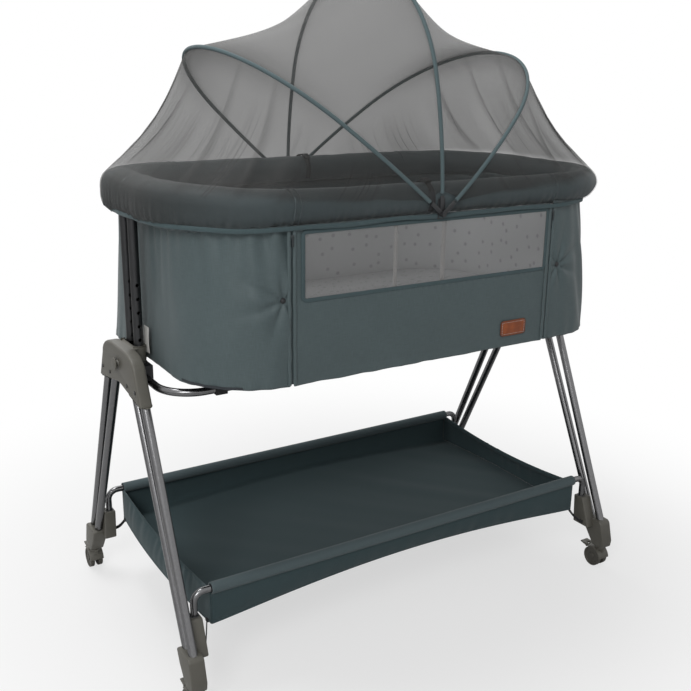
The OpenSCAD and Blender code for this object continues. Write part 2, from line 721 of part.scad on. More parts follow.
// The drop-down panel turns on the cord in its lower fold
fold_cord_r = 0.9;
fold_y = front_y - 0.3;
fold_z = panel_low - 0.15;
module drop_panel() {
    panel_w = zip_span - 2 * panel_inset;
    color(cloth_colour) {
        difference() {
            translate([front_zip_x[0] + panel_inset, front_y, panel_low])
                cube([panel_w, cloth_t, cloth_top - 3 - panel_low]);
            window_cut(front_y);
        }
        translate([front_zip_x[0] + panel_inset, fold_y, fold_z]) rotate([0, 90, 0])
            cylinder(r = fold_cord_r, h = panel_w);
    }
}

module lining() {
    color(lining_colour) difference() {
        translate([0, 0, board_top]) ring(lining_half_l, lining_half_w, lining_corner)
            translate([-lining_t, 0]) square([lining_t, lining_top - board_top]);
        window_cut(cloth_half_w);
        panel_cut(2 * panel_inset);
    }
}

// Mesh of a window, in the wall whose outer face lies at y
mesh_t = 1;
mesh_inset = 0.8;
module window_mesh(y) {
    color(net_colour) translate([window_x - window_w / 2 + rest_gap, y, window_low + rest_gap])
        cube([window_w - 2 * rest_gap, mesh_t, window_high - window_low - 2 * rest_gap]);
}

// Padded rim: a round roll with a channel for the rail, open below
module rim_padding() {
    slot_w = 6;
    color(rim_colour) difference() {
        translate([0, 0, rim_z]) ring(rim_half_l, rim_half_w, rim_corner) difference() {
            circle(r = rim_r);
            circle(r = rim_rail_r + rest_gap);
            translate([-slot_w / 2, -rim_d]) square([slot_w, rim_d]);
        }
        for (s = [-1, 1]) translate([s * upright_x - joint_half_w - rest_gap, -joint_half_y - rest_gap, 0])
            cube([2 * (joint_half_w + rest_gap), 2 * (joint_half_y + rest_gap), joint_high + rest_gap]);
    }
}

// Mattress: a crowned pad whose sides draw in above and below
mattress_gap = 5;
function mattress_row(f) =
    let (in = 7 * pow(abs(2 * f - 1), 3), half_l = lining_half_l - lining_t - mattress_gap - in,
        half_w = lining_half_w - lining_t - mattress_gap - in)
    [for (p = outline(half_l, half_w, lining_corner - mattress_gap - in, 7, 4, 3))
        [p[0], p[1], board_top + mattress_t * f]];
module mattress() {
    rows = 6;
    ring_n = len(mattress_row(0));
    last = (rows + 1) * ring_n;
    crown = 4;
    points = concat(
        flat([for (i = [0:rows]) mattress_row(i / rows)]),
        [for (p = mattress_row(1)) [p[0] * 0.75, p[1] * 0.75, board_top + mattress_t + crown]],
        [[0, 0, board_top], [0, 0, board_top + mattress_t + crown * 1.4]]);
    faces = concat(
        flat([for (i = [0:rows], j = [0:ring_n - 1])
            let (k = (j + 1) % ring_n, a = i * ring_n, b = a + ring_n) quad(a + j, b + j, b + k, a + k)]),
        [for (j = [0:ring_n - 1]) [j, (j + 1) % ring_n, last + ring_n]],
        [for (j = [0:ring_n - 1]) [last + (j + 1) % ring_n, last + j, last + ring_n + 1]]);
    color(lining_colour) polyhedron(points, faces);
}

// Small pieces on the outer cloth

patch_size = [57, 1.2, 28];
patch_at = [front_zip_x[1] - 75, 0, panel_low + 18];
module leather_patch() {
    color(leather)
        translate([patch_at[0] - patch_size[0] / 2, front_y - patch_size[1], patch_at[2] - patch_size[2] / 2])
            cube(patch_size);
}

label_size = [0.8, 20, 38];
label_at = [0, -30, 538];
module label_tab() {
    color("lightgray") translate([-cloth_half_l - label_size[0], label_at[1], label_at[2]]) cube(label_size);
}

tape_w = 11;
tape_t = 0.8;
panel_inset = 4.2;
tape_low = cloth_bottom + 4;
tape_high = cloth_top - 6;
module zip_tapes() {
    color(black) for (k = [0, 1]) {
        shift = (k == 0 ? 1 : -1) * (tape_w / 2 - panel_inset + rest_gap);
        translate([front_zip_x[k] - shift - tape_w / 2, front_y - tape_t, tape_low])
            cube([tape_w, tape_t, tape_high - tape_low]);
    }
}

slider_size = [7, 2.4, 10];
pull_size = [3.6, 1.4, 24];
slider_z = tape_high - slider_size[2] - 1;
module zip_slider(x) {
    y = front_y - tape_t - rest_gap;
    color(black) {
        translate([x - slider_size[0] / 2, y - slider_size[1], slider_z]) cube(slider_size);
        translate([x - pull_size[0] / 2, y - slider_size[1] - 1, slider_z + 6 - pull_size[2]])
            cube(pull_size);
    }
}

toggle_z = window_low + 2;
toggle_out = [13, 22];
toggle_at = [[front_zip_x[0] - toggle_out[0], toggle_z], [front_zip_x[1] + toggle_out[1], toggle_z]];
module side_toggles() {
    color(black) for (p = toggle_at) translate([p[0], front_y, p[1]]) rotate([90, 0, 0]) {
        cylinder(r = 4.5, h = 2);
        cylinder(r = 2.5, h = 3.2);
    }
}

// Mosquito net

function flank_r(w) = (pow(w, 2) + pow(hoop_centre_h, 2) - pow(hoop_crown, 2)) / (2 * (w - hoop_crown));
function flank_end(w) = atan2(hoop_centre_h, flank_r(w) - w);
function flank_start(w) = asin(rod_start_h / flank_r(w));

// Half width of the hoop and height above its pivots at f, from 0 at the front foot to 1 at the rear one
function arch(w, f) =
    let (fr = flank_r(w), a0 = flank_start(w), a1 = flank_end(w), side = fr * (a1 - a0),
        top = hoop_crown * (180 - 2 * a1), whole = 2 * side + top, s = f * whole)
    s < side ? [-(w - fr) - fr * cos(a0 + s / fr), fr * sin(a0 + s / fr)]
    : s > side + top ? let (a = a0 + (whole - s) / fr) [w - fr + fr * cos(a), fr * sin(a)]
    : let (b = 180 - a1 - (s - side) / hoop_crown) [hoop_crown * cos(b), hoop_centre_h + hoop_crown * sin(b)];
function hoop_point(w, f, lean) = let (p = arch(w, f)) [p[1] * sin(lean), p[0], pivot_z + p[1] * cos(lean)];

module hoop(w, lean) {
    a0 = flank_start(w);
    a1 = flank_end(w);
    splice = 0.4;
    color(dark_steel) translate([0, 0, pivot_z]) rotate([0, lean, 0]) rotate([90, 0, 90]) difference() {
        union() {
            translate([0, hoop_centre_h, 0]) rotate([0, 0, a1]) rotate_extrude(angle = 180 - 2 * a1)
                translate([hoop_crown, 0]) circle(d = hoop_d);
            for (s = [-1, 1]) mirror([s < 0 ? 1 : 0, 0, 0]) {
                translate([w - flank_r(w), 0, 0]) rotate([0, 0, a0]) rotate_extrude(angle = a1 - a0 + splice)
                    translate([flank_r(w), 0]) circle(d = hoop_d - 0.2);
                translate([w - tongue_t / 2, 0, -3.5]) cube([tongue_t, tongue_h, 7]);
                translate([w - tongue_t / 2, 0, 0]) rotate([0, 90, 0]) cylinder(r = 4.5, h = tongue_t);
            }
        }
        translate([-w - 2, 0, 0]) rotate([0, 90, 0]) cylinder(r = pivot_r + shaft_gap, h = 2 * w + 4);
    }
}

plate_w = 14;
plate_low = 8;
module hoop_pins() {
    color(black) for (s = [-1, 1]) corner(1, s) {
        translate([-plate_w / 2, plate_y, pivot_z - plate_low])
            cube([plate_w, plate_t, plate_low + rod_start_h - 1]);
        translate([0, plate_y, pivot_z]) rotate([-90, 0, 0])
            cylinder(r = pivot_r, h = pin_end_y - plate_y + 1);
        translate([0, pin_end_y, pivot_z]) rotate([-90, 0, 0]) cylinder(r = 4, h = 2);
    }
}

// Straps round the rim beside the pivots
clip_w = 12;
clip_t = 1.1;
clip_end_low = 14;
clip_at = [[-1, -15], [1, 18]];
module net_clips() {
    color(black) for (c = clip_at) corner(1, c[0]) x_slab(c[1], clip_w)
        translate([rim_half_w, rim_z]) difference() {
            circle(r = rim_r + rest_gap / 2 + clip_t);
            circle(r = rim_r + rest_gap / 2);
            translate([-rim_d, -rim_d - clip_end_low]) square([2 * rim_d, rim_d]);
        }
}

// Point where the net leaves the rim towards a hoop's point: the tangent to the round roll
net_rows = 6;
net_cols = 36;
chord_gap = 0.8;
net_rim_r = rim_r + rest_gap + net_t + chord_gap;
function rim_outline(f, sx) =
    let (a = 180 * f - 90, r = rim_corner, l = rim_half_l - r, b = rim_half_w - r,
        side = l, arc = r * PI / 2, end = 2 * b, whole = 2 * side + 2 * arc + end, s = f * whole)
    s < side ? [sx * s, -rim_half_w, 0, -1]
    : s < side + arc ? let (t = 90 * (s - side) / arc)
        [sx * (l + r * sin(t)), -b - r * cos(t), sx * sin(t), -cos(t)]
    : s < side + arc + end ? [sx * rim_half_l, -b + s - side - arc, sx, 0]
    : s < side + 2 * arc + end ? let (t = 90 * (s - side - arc - end) / arc)
        [sx * (l + r * cos(t)), b + r * sin(t), sx * cos(t), sin(t)]
    : [sx * (whole - s), rim_half_w, 0, 1];
function net_foot(f, sx, target) =
    let (q = rim_outline(f, sx), out = (target[0] - q[0]) * q[2] + (target[1] - q[1]) * q[3],
        up = target[2] - rim_z, dist = sqrt(out * out + up * up),
        b = atan2(up, out) - acos(min(1, net_rim_r / dist)))
    [q[0] + q[2] * net_rim_r * cos(b), q[1] + q[3] * net_rim_r * cos(b), rim_z + net_rim_r * sin(b)];

net_start = 0.05;
function net_f(j) = net_start + (1 - 2 * net_start) * j / net_cols;
hoop_clear = hoop_d / 2 + rest_gap + chord_gap / 2;

// End panel: from a side hoop down to the rim, with folds that run from the hoop to the corners
net_fold = 5;
function end_panel(sx, w) = [for (i = [0:net_rows]) [for (j = [0:net_cols])
    let (f = net_f(j), top = hoop_point(w, f, sx * hoop_lean), foot = net_foot(f, sx, top), g = i / net_rows,
        d = foot - top, start = top + d * (hoop_clear / norm(d)),
        fold = net_fold * sin(360 * 6 * f) * sin(180 * g) * sin(180 * f))
    start + (foot - start) * g + [sx * fold * 0.7, 0, fold * 0.7]]];

// Fan panel: between the middle hoop and a side hoop, hollowed between them
function fan_panel(sx, w) = [for (i = [0:net_rows]) [for (j = [0:net_cols])
    let (f = net_f(j), a = hoop_point(middle_y, f, 0), b = hoop_point(w, f, sx * hoop_lean), g = i / net_rows,
        d = b - a, u = d / norm(d), a1 = a + u * hoop_clear, b1 = b - u * hoop_clear,
        centre = [0, 0, pivot_z], p = a1 + (b1 - a1) * g, in = (centre - p) / norm(centre - p))
    p + in * net_sag * sin(180 * g) * sin(180 * f)]];

function reversed(l) = [for (i = [len(l) - 1:-1:0]) l[i]];
module net_panel(p, sx) {
    color(net_colour, 0.6) grid_solid(sx > 0 ? p : reversed(p), net_t, false);
}

corner(-1, 1) hub();  // left_hub
hub();  // right_hub
corner(-1, -1) leg();  // front_left_leg
corner(-1, 1) leg();  // rear_left_leg
corner(1, -1) leg();  // front_right_leg
leg();  // rear_right_leg
corner(-1, -1) foot();  // front_left_foot
corner(-1, 1) foot();  // rear_left_foot
corner(1, -1) foot();  // front_right_foot
foot();  // rear_right_foot
stand_rivets();
basket_rails();
basket();
basket_straps();
corner(-1, 1) button();  // left_button
button();  // right_button
corner(-1, 1) latch();  // left_latch
latch();  // right_latch
at_castor(-1, -1) castor_fork();  // front_left_fork
at_castor(-1, 1) castor_fork();  // rear_left_fork
at_castor(1, -1) castor_fork();  // front_right_fork
at_castor(1, 1) castor_fork();  // rear_right_fork
at_castor(-1, -1) castor_wheels();  // front_left_wheels
at_castor(-1, 1) castor_wheels();  // rear_left_wheels
at_castor(1, -1) castor_wheels();  // front_right_wheels
at_castor(1, 1) castor_wheels();  // rear_right_wheels
at_castor(-1, -1) castor_brake();  // front_left_brake
at_castor(-1, 1) castor_brake();  // rear_left_brake
at_castor(1, -1) castor_brake();  // front_right_brake
at_castor(1, 1) castor_brake();  // rear_right_brake
corner(-1, 1) uprights();  // left_uprights
uprights();  // right_uprights
rim_rail();
rail_joints();
base_frame();
base_brackets();
base_board();
base_loops();
mattress();
outer_cloth();
drop_panel();
window_mesh(front_y + mesh_inset);  // front_window_mesh
window_mesh(-front_y - mesh_inset - mesh_t);  // rear_window_mesh
lining();
rim_padding();
leather_patch();
label_tab();
zip_tapes();
zip_slider(front_zip_x[0]);  // left_zip_slider
zip_slider(front_zip_x[1]);  // right_zip_slider
side_toggles();
hoop_pins();
net_clips();
hoop(middle_y, 0);  // middle_hoop
hoop(left_y, -hoop_lean);  // left_hoop
hoop(right_y, hoop_lean);  // right_hoop
net_panel(fan_panel(-1, left_y), -1);  // left_net_fan
net_panel(fan_panel(1, right_y), 1);  // right_net_fan
net_panel(end_panel(-1, left_y), -1);  // left_net_end
net_panel(end_panel(1, right_y), 1);  // right_net_end
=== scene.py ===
"""Bedside cradle: cloth, net, padding and finishes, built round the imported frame. Lengths are in metres."""

import json
import math
from contextlib import contextmanager

import bpy
import numpy as np
from mathutils import Matrix, Vector


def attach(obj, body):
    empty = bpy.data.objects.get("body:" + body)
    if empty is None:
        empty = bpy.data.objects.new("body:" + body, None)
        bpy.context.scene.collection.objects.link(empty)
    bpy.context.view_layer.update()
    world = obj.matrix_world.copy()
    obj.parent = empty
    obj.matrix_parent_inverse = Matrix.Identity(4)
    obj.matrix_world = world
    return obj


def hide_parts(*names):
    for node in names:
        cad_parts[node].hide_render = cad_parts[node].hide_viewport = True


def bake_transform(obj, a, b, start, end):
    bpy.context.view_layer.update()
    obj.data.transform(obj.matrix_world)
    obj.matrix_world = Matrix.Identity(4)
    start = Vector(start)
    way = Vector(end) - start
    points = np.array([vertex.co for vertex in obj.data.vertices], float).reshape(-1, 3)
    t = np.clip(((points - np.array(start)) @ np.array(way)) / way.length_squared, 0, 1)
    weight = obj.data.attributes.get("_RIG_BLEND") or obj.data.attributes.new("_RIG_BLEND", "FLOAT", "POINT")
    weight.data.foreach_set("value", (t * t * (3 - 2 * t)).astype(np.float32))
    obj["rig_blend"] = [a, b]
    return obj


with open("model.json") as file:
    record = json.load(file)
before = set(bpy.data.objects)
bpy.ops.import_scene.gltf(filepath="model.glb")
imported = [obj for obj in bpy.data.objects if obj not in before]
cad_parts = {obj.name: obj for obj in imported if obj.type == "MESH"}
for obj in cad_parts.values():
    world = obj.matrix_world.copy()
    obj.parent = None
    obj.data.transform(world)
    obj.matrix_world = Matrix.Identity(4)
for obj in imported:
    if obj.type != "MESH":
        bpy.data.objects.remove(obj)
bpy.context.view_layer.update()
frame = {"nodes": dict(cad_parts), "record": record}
nodes = frame["nodes"]
scene = bpy.context.scene

# The padded rim: its ends are half length and corner radius
RIM_Z, RIM_HALF_W, RIM_R = 0.791, 0.232, 0.025
RIM_RIGHT, RIM_LEFT = (0.430, 0.155), (0.424, 0.172)
PUFF_REACH = 0.158

# The cot's cloth, its drop side and what hangs inside
CLOTH_HALF_W, CLOTH_LOW, CLOTH_THICK = 0.252, 0.516, 0.0022
PANEL_X, PANEL_LOW, PANEL_TOP = (-0.2658, 0.2438), 0.536, 0.7685
ZIP_X = (-0.270, 0.248)
WINDOW_X, WINDOW_Z = (-0.249, 0.237), (0.655, 0.757)
TOGGLES = ((-0.283, 0.657), (0.270, 0.657))
PATCH_AT = (0.173, 0.554)
LINING_HALF_W = 0.2405
BOARD_TOP = 0.526

# Hoops and net
PIVOT_Z, HOOP_RISE, HOOP_CROWN, HOOP_START = 0.768, 0.392, 0.240, 0.026
HOOP_LEAN = {"middle": 0, "left": math.radians(-50), "right": math.radians(50)}
HOOP_HALF_W = {"middle": 0.25965, "left": 0.26195, "right": 0.26425}
NET_OVER, NET_FOOT = 0.0018, 0.012
END_FOLDS = {-1: (0.30, 0.37, 0.62, 0.70), 1: (0.24, 0.31, 0.38, 0.47, 0.56, 0.64)}

# Stand and basket
CORNERS = {"front_left": (-1, -1), "rear_left": (-1, 1), "front_right": (1, -1), "rear_right": (1, 1)}
RAIL_ENDS = tuple(CORNERS.values())
RAIL_Y, RAIL_Z, FLOOR_Z, BASKET_HALF_L, RAIL_FOOT_X = 0.2135, 0.187, 0.122, 0.400, 0.430
BASKET_LIFT, BASKET_DRAW = 0.020, 0.008
BUTTON_Z = 0.517

# The camera that took the photo, and the lamps: place, size and power
CAMERA_AT = (-0.9151, -1.4423, 0.9997)
CAMERA_YAW, CAMERA_PITCH, CAMERA_ROLL = 31.910, 16.974, 0.706
FOCAL_PX, PHOTO_PX, SENSOR_MM = 929.106, 691, 36
LAMPS = {
    "key": ((-2.3, -2.2, 2.4), 1.3, 52),
    "top": ((-0.7, 0.5, 2.9), 1.0, 34),
    "side": ((2.6, -1.6, 1.8), 1.0, 0.6),
    "rear": ((0.4, 2.6, 2.2), 1.4, 13),
}
WORLD_LIGHT = 0.34

TAU = 2 * math.pi


# Working on objects


def only(piece):
    """Selects this piece and nothing else."""
    bpy.ops.object.select_all(action="DESELECT")
    piece.select_set(True)
    bpy.context.view_layer.objects.active = piece
    return piece


def new_piece(name):
    """Names the primitive that was just added, and selects it alone."""
    piece = bpy.context.object
    piece.name = piece.data.name = name
    return only(piece)


@contextmanager
def editing(piece):
    """Edit mode, with everything in the piece selected."""
    only(piece)
    bpy.ops.object.mode_set(mode="EDIT")
    bpy.ops.mesh.select_all(action="SELECT")
    yield
    bpy.ops.object.mode_set(mode="OBJECT")


@contextmanager
def chosen(piece, kind, parts, test):
    """Edit mode, with only the edges or faces selected that the test takes."""
    with editing(piece):
        bpy.ops.mesh.select_all(action="DESELECT")
        bpy.ops.mesh.select_mode(type=kind)
    for part in parts:
        part.select = bool(test(part))
    bpy.ops.object.mode_set(mode="EDIT")
    yield
    bpy.ops.object.mode_set(mode="OBJECT")


def work(piece, kind, **settings):
    """Adds a modifier to the piece and applies it."""
    only(piece)
    made = piece.modifiers.new(kind.lower(), kind)
    for key, value in settings.items():
        setattr(made, key, value)
    bpy.ops.object.modifier_apply(modifier=made.name)
    return piece


def settle(piece):
    """Puts the piece's place, turn and scale into its mesh."""
    only(piece)
    bpy.ops.object.transform_apply(location=True, rotation=True, scale=True)
    return piece


def smooth(piece, angle=40):
    """Shades the piece smooth where its faces meet at less than the angle."""
    only(piece)
    bpy.ops.object.shade_smooth_by_angle(angle=math.radians(angle))
    return piece


def cube(name, at, size, bevel=0.0, segments=2):
    """A block of three sizes round a point, its edges rounded."""
    bpy.ops.mesh.primitive_cube_add(size=1, location=at)
    piece = new_piece(name)
    piece.scale = size
    settle(piece)
    return work(piece, "BEVEL", width=bevel, segments=segments) if bevel else piece


def round_edges(piece, offset, segments):
    """Rounds the edges that run along Y."""
    at = [v.co.y for v in piece.data.vertices]

    def along_y(edge):
        a, b = edge.vertices
        return abs(at[a] - at[b]) > 0.0005

    with chosen(piece, "EDGE", piece.data.edges, along_y):
        bpy.ops.mesh.bevel(offset=offset, segments=segments)


def bevelled(piece, width, segments, angle, **more):
    """Rounds the edges where faces meet at more than the angle."""
    limit = {"limit_method": "ANGLE", "angle_limit": math.radians(angle)}
    return work(piece, "BEVEL", width=width, segments=segments, **limit, **more)


def drop_faces(piece, test):
    """Takes out the faces that the test picks by their middle."""
    with chosen(piece, "FACE", piece.data.polygons, lambda face: test(face.center)):
        bpy.ops.mesh.delete(type="FACE")


def joined(name, pieces):
    """Several pieces made one."""
    bpy.ops.object.select_all(action="DESELECT")
    for piece in pieces:
        piece.select_set(True)
    bpy.context.view_layer.objects.active = pieces[0]
    bpy.ops.object.join()
    return new_piece(name)


def woven(name, across, down, place, size, wrap="", thick=0.0, flip=False):
    """A sheet from a grid. place turns the arrays u and v, 0 to 1, into points. Its UV map is in metres."""
    bpy.ops.mesh.primitive_grid_add(x_subdivisions=across, y_subdivisions=down, size=1)
    piece = new_piece(name)
    mesh = piece.data
    flat = np.empty(len(mesh.vertices) * 3)
    mesh.vertices.foreach_get("co", flat)
    u, v = flat[0::3] + 0.5, flat[1::3] + 0.5
    loops = np.empty(len(mesh.loops), int)
    mesh.loops.foreach_get("vertex_index", loops)
    uv = np.stack([u[loops] * size[0], v[loops] * size[1]], 1)
    mesh.uv_layers.active.data.foreach_set("uv", uv.ravel())
    mesh.vertices.foreach_set("co", points(*place(u, v)).ravel())
    mesh.update()
    with editing(piece):
        if wrap:
            bpy.ops.mesh.remove_doubles(threshold=2e-6)
        if flip:
            bpy.ops.mesh.flip_normals()
    if thick:
        work(piece, "SOLIDIFY", thickness=thick, offset=-1)
    bpy.ops.object.shade_smooth()
    return piece


def thicken(piece, thick):
    """Gives a sheet its thickness, after faces were taken out of it."""
    work(piece, "SOLIDIFY", thickness=thick, offset=-1)
    bpy.ops.object.shade_smooth()


def grid_of(piece, across, down):
    """u and v of each vertex of a woven sheet."""
    k = np.arange(len(piece.data.vertices))
    return (k % (across + 1)) / across, (k // (across + 1)) / down


def weigh(piece, name, values):
    """Writes a number to each vertex, under the name of an attribute."""
    kept = piece.data.attributes
    attribute = kept.get(name) or kept.new(name, "FLOAT", "POINT")
    attribute.data.foreach_set("value", values.astype(np.float32))


def points(x, y, z):
    """Rows of x, y and z, any of which may be a plain number."""
    return np.stack(np.broadcast_arrays(x, y, z), 1)


def band(name, path, out, half_wide, half_thick, sides=10, closed=False, power=1.0):
    """A strip, cord or welt with an oval section along a path. out is the way its face looks."""
    path, out = np.array(path, float), np.array(out, float)
    if out.ndim == 1:
        out = np.tile(out, (len(path), 1))
    if closed:
        path, out = np.vstack([path, path[:1]]), np.vstack([out, out[:1]])
        along = np.roll(path[:-1], -1, 0) - np.roll(path[:-1], 1, 0)
        along = np.vstack([along, along[:1]])
    else:
        along = np.gradient(path, axis=0)
    along /= np.linalg.norm(along, axis=1)[:, None]
    out = out - (out * along).sum(1)[:, None] * along
    out /= np.linalg.norm(out, axis=1)[:, None]
    side = np.cross(out, along)
    steps = np.linalg.norm(np.diff(path, axis=0), axis=1)
    wide = np.broadcast_to(half_wide, len(path))
    deep = np.broadcast_to(half_thick, len(path))

    def place(u, v):
        k = np.clip(np.rint(u * (len(path) - 1)).astype(int), 0, len(path) - 1)
        a = v * TAU
        c = np.sign(np.cos(a)) * np.abs(np.cos(a)) ** power
        s = np.sign(np.sin(a)) * np.abs(np.sin(a)) ** power
        p = path[k] + side[k] * (c * wide[k])[:, None] + out[k] * (s * deep[k])[:, None]
        return p[:, 0], p[:, 1], p[:, 2]

    girth = 4 * float(np.mean(wide) + np.mean(deep)) / 1.3
    piece = woven(name, len(path) - 1, sides, place, (float(steps.sum()), girth), wrap="v")
    with editing(piece):
        if not closed:
            bpy.ops.mesh.select_all(action="DESELECT")
            bpy.ops.mesh.select_mode(type="EDGE")
            open_ends = {"use_wire": False, "use_multi_face": False, "use_verts": False}
            bpy.ops.mesh.select_non_manifold(extend=False, **open_ends)
            bpy.ops.mesh.edge_face_add()
        bpy.ops.mesh.select_all(action="SELECT")
        bpy.ops.mesh.normals_make_consistent(inside=False)
    return smooth(piece, 50)


# Curves that the cloth follows


def around(s, right, left, half_w):
    """Points and outward directions at distance s round a rounded rectangle, from its front middle on.
    right and left are (half length, corner radius) of its two ends."""
    (l1, r1), (l2, r2) = right, left
    q = math.pi / 2
    right_end, left_end = ([q * r, 2 * (half_w - r), q * r] for r in (r1, r2))
    parts = [l1 - r1, *right_end, l1 - r1 + l2 - r2, *left_end, l2 - r2]
    parts = [np.broadcast_to(p, np.shape(s)) for p in parts]
    whole = sum(parts)
    s = np.mod(s, whole)
    zero, one = np.zeros(np.shape(s)), np.ones(np.shape(s))
    x = y = nx = ny = start = zero
    for k, part in enumerate(parts):
        here = (s >= start - 1e-12) & ((s < start + part) | (k == 8))
        t = s - start
        if k in (1, 3, 5, 7):
            r, cx = (r1, l1 - r1) if k < 4 else (r2, r2 - l2)
            cy = (r - half_w) if k in (1, 7) else (half_w - r)
            a = {1: -q, 3: 0, 5: q, 7: 2 * q}[k] + t / r
            values = cx + r * np.cos(a), cy + r * np.sin(a), np.cos(a), np.sin(a)
        elif k in (0, 8):
            values = (t if k == 0 else r2 - l2 + t), -half_w * one, zero, -one
        elif k == 2:
            values = l1 * one, r1 - half_w + t, one, zero
        elif k == 4:
            values = l1 - r1 - t, half_w * one, zero, one
        else:
            values = -l2 * one, half_w - r2 - t, -one, zero
        x, y, nx, ny = (np.where(here, new, old) for new, old in zip(values, (x, y, nx, ny)))
        start = start + part
    return x, y, nx, ny


def girth(right, left, half_w):
    """Length all round the rounded rectangle."""
    (l1, r1), (l2, r2) = right, left
    return 2 * (l1 + l2) + 4 * half_w - (4 - math.pi) * (r1 + r2)


def lumps(t, low, high, seed):
    """A smooth random curve with a period of 1, about -1 to 1, from waves low to high to the period."""
    rng = np.random.default_rng(seed)
    waves = np.arange(low, high + 1)
    size, start = rng.uniform(0.4, 1, len(waves)), rng.uniform(0, TAU, len(waves))
    total = sum(a * np.sin(TAU * k * t + p) for k, a, p in zip(waves, size, start))
    return total / math.sqrt((size**2).sum() / 2) / 1.8


def bump(t, at, width):
    """1 at a place, falling to 0 over the width on both sides."""
    return np.exp(-(((t - at) / width) ** 2))


def hump(t):
    """From 0 up to 1 and back, as t goes from 0 to 1."""
    return np.sin(math.pi * t)


def ease(t):
    """From 0 to 1, slow at both ends."""
    t = np.clip(t, 0, 1)
    return t * t * (3 - 2 * t)


def arch(half_w, f):
    """A hoop's half width and height above the pivots, at f from 0 at its front foot to 1 at its rear."""
    high = HOOP_RISE - HOOP_CROWN
    r = (half_w**2 + high**2 - HOOP_CROWN**2) / (2 * (half_w - HOOP_CROWN))
    a0, a1 = math.asin(HOOP_START / r), math.atan2(high, r - half_w)
    side, top = r * (a1 - a0), HOOP_CROWN * (math.pi - 2 * a1)
    whole = 2 * side + top
    s = np.asarray(f) * whole
    b = math.pi - a1 - (s - side) / HOOP_CROWN
    t = np.where(s < side, a0 + s / r, a0 + (whole - s) / r)
    on_side = (s < side) | (s > side + top)
    y = np.where(on_side, np.sign(s - whole / 2) * (half_w - r + r * np.cos(t)), HOOP_CROWN * np.cos(b))
    z = np.where(on_side, r * np.sin(t), high + HOOP_CROWN * np.sin(b))
    return y, z


def hoop_line(which, f):
    """Points of a hoop, leaning as it does at rest."""
    lean = HOOP_LEAN[which]
    y, z = arch(HOOP_HALF_W[which], f)
    return z * math.sin(lean), y, PIVOT_Z + z * math.cos(lean)


# Finishes


def paint(r, g, b):
    """A colour written as it shows on screen, 0 to 255, made linear."""
    linear = (c / 255 / 12.92 if c < 11 else ((c / 255 + 0.055) / 1.055) ** 2.4 for c in (r, g, b))
    return (*linear, 1.0)


class Wire:
    """The value of a socket; operators on it add Math nodes."""

    def __init__(self, finish, socket):
        self.finish, self.socket = finish, socket

    def maths(self, operation, *values):
        return self.finish.node("ShaderNodeMath", {"operation": operation}, dict(enumerate(values)))

    def __add__(self, other):
        return self.maths("ADD", self, other)

    def __sub__(self, other):
        return self.maths("SUBTRACT", self, other)

    def __rsub__(self, other):
        return self.maths("SUBTRACT", other, self)

    def __mul__(self, other):
        return self.maths("MULTIPLY", self, other)

    def __pow__(self, other):
        return self.maths("POWER", self, other)

    def __abs__(self):
        return self.maths("ABSOLUTE", self)

    __radd__, __rmul__ = __add__, __mul__

    def wave(self, pitch):
        """From 0 to 1 and back once in each pitch."""
        return self.maths("SINE", self * (TAU / pitch)) * 0.5 + 0.5

    def kept(self, low, high):
        """How far the value is from low to high, as 0 to 1, smoothed."""
        ranged = {"interpolation_type": "SMOOTHSTEP"}
        return self.finish.node("ShaderNodeMapRange", ranged, {0: self, 1: low, 2: high, 3: 0.0, 4: 1.0})


class Finish:
    """A material: a Principled shader and the nodes that feed it."""

    def __init__(self, name, **constants):
        self.material = bpy.data.materials.new(name)
        self.material.use_nodes = True
        self.tree = self.material.node_tree
        self.shader = self.tree.nodes["Principled BSDF"]
        self.set(**constants)

    def set(self, **values):
        for key, value in values.items():
            self.join(value, self.shader.inputs[key.replace("_", " ")])
        return self

    def join(self, value, socket):
        if isinstance(value, Wire):
            self.tree.links.new(value.socket, socket)
        else:
            socket.default_value = value

    def node(self, kind, settings=None, sockets=None, out=0):
        made = self.tree.nodes.new(kind)
        for key, value in (settings or {}).items():
            setattr(made, key, value)
        for key, value in (sockets or {}).items():
            self.join(value, made.inputs[key])
        return Wire(self, made.outputs[out])

    def place(self, scale=(1, 1, 1), of="Object"):
        at = self.node("ShaderNodeTexCoord", out=of)
        return self.node("ShaderNodeMapping", {}, {"Vector": at, "Scale": scale})

    def axis(self, vector, k):
        return self.node("ShaderNodeSeparateXYZ", {}, {0: vector}, out=k)

    def noise(self, scale, detail=3.0, stretch=(1, 1, 1), of="Object"):
        sockets = {"Vector": self.place(stretch, of), "Scale": scale, "Detail": detail}
        return self.node("ShaderNodeTexNoise", {}, sockets)

    def between(self, factor, first, second):
        return self.node("ShaderNodeMix", {"data_type": "RGBA"}, {0: factor, 6: first, 7: second}, out=2)

    def relief(self, height, strength=0.3, depth=0.0005):
        sockets = {"Height": height, "Strength": strength, "Distance": depth}
        return self.set(Normal=self.node("ShaderNodeBump", {}, sockets))


def shade(colour, by):
    """The colour made lighter or darker."""
    return tuple(c * by for c in colour[:3]) + (1.0,)


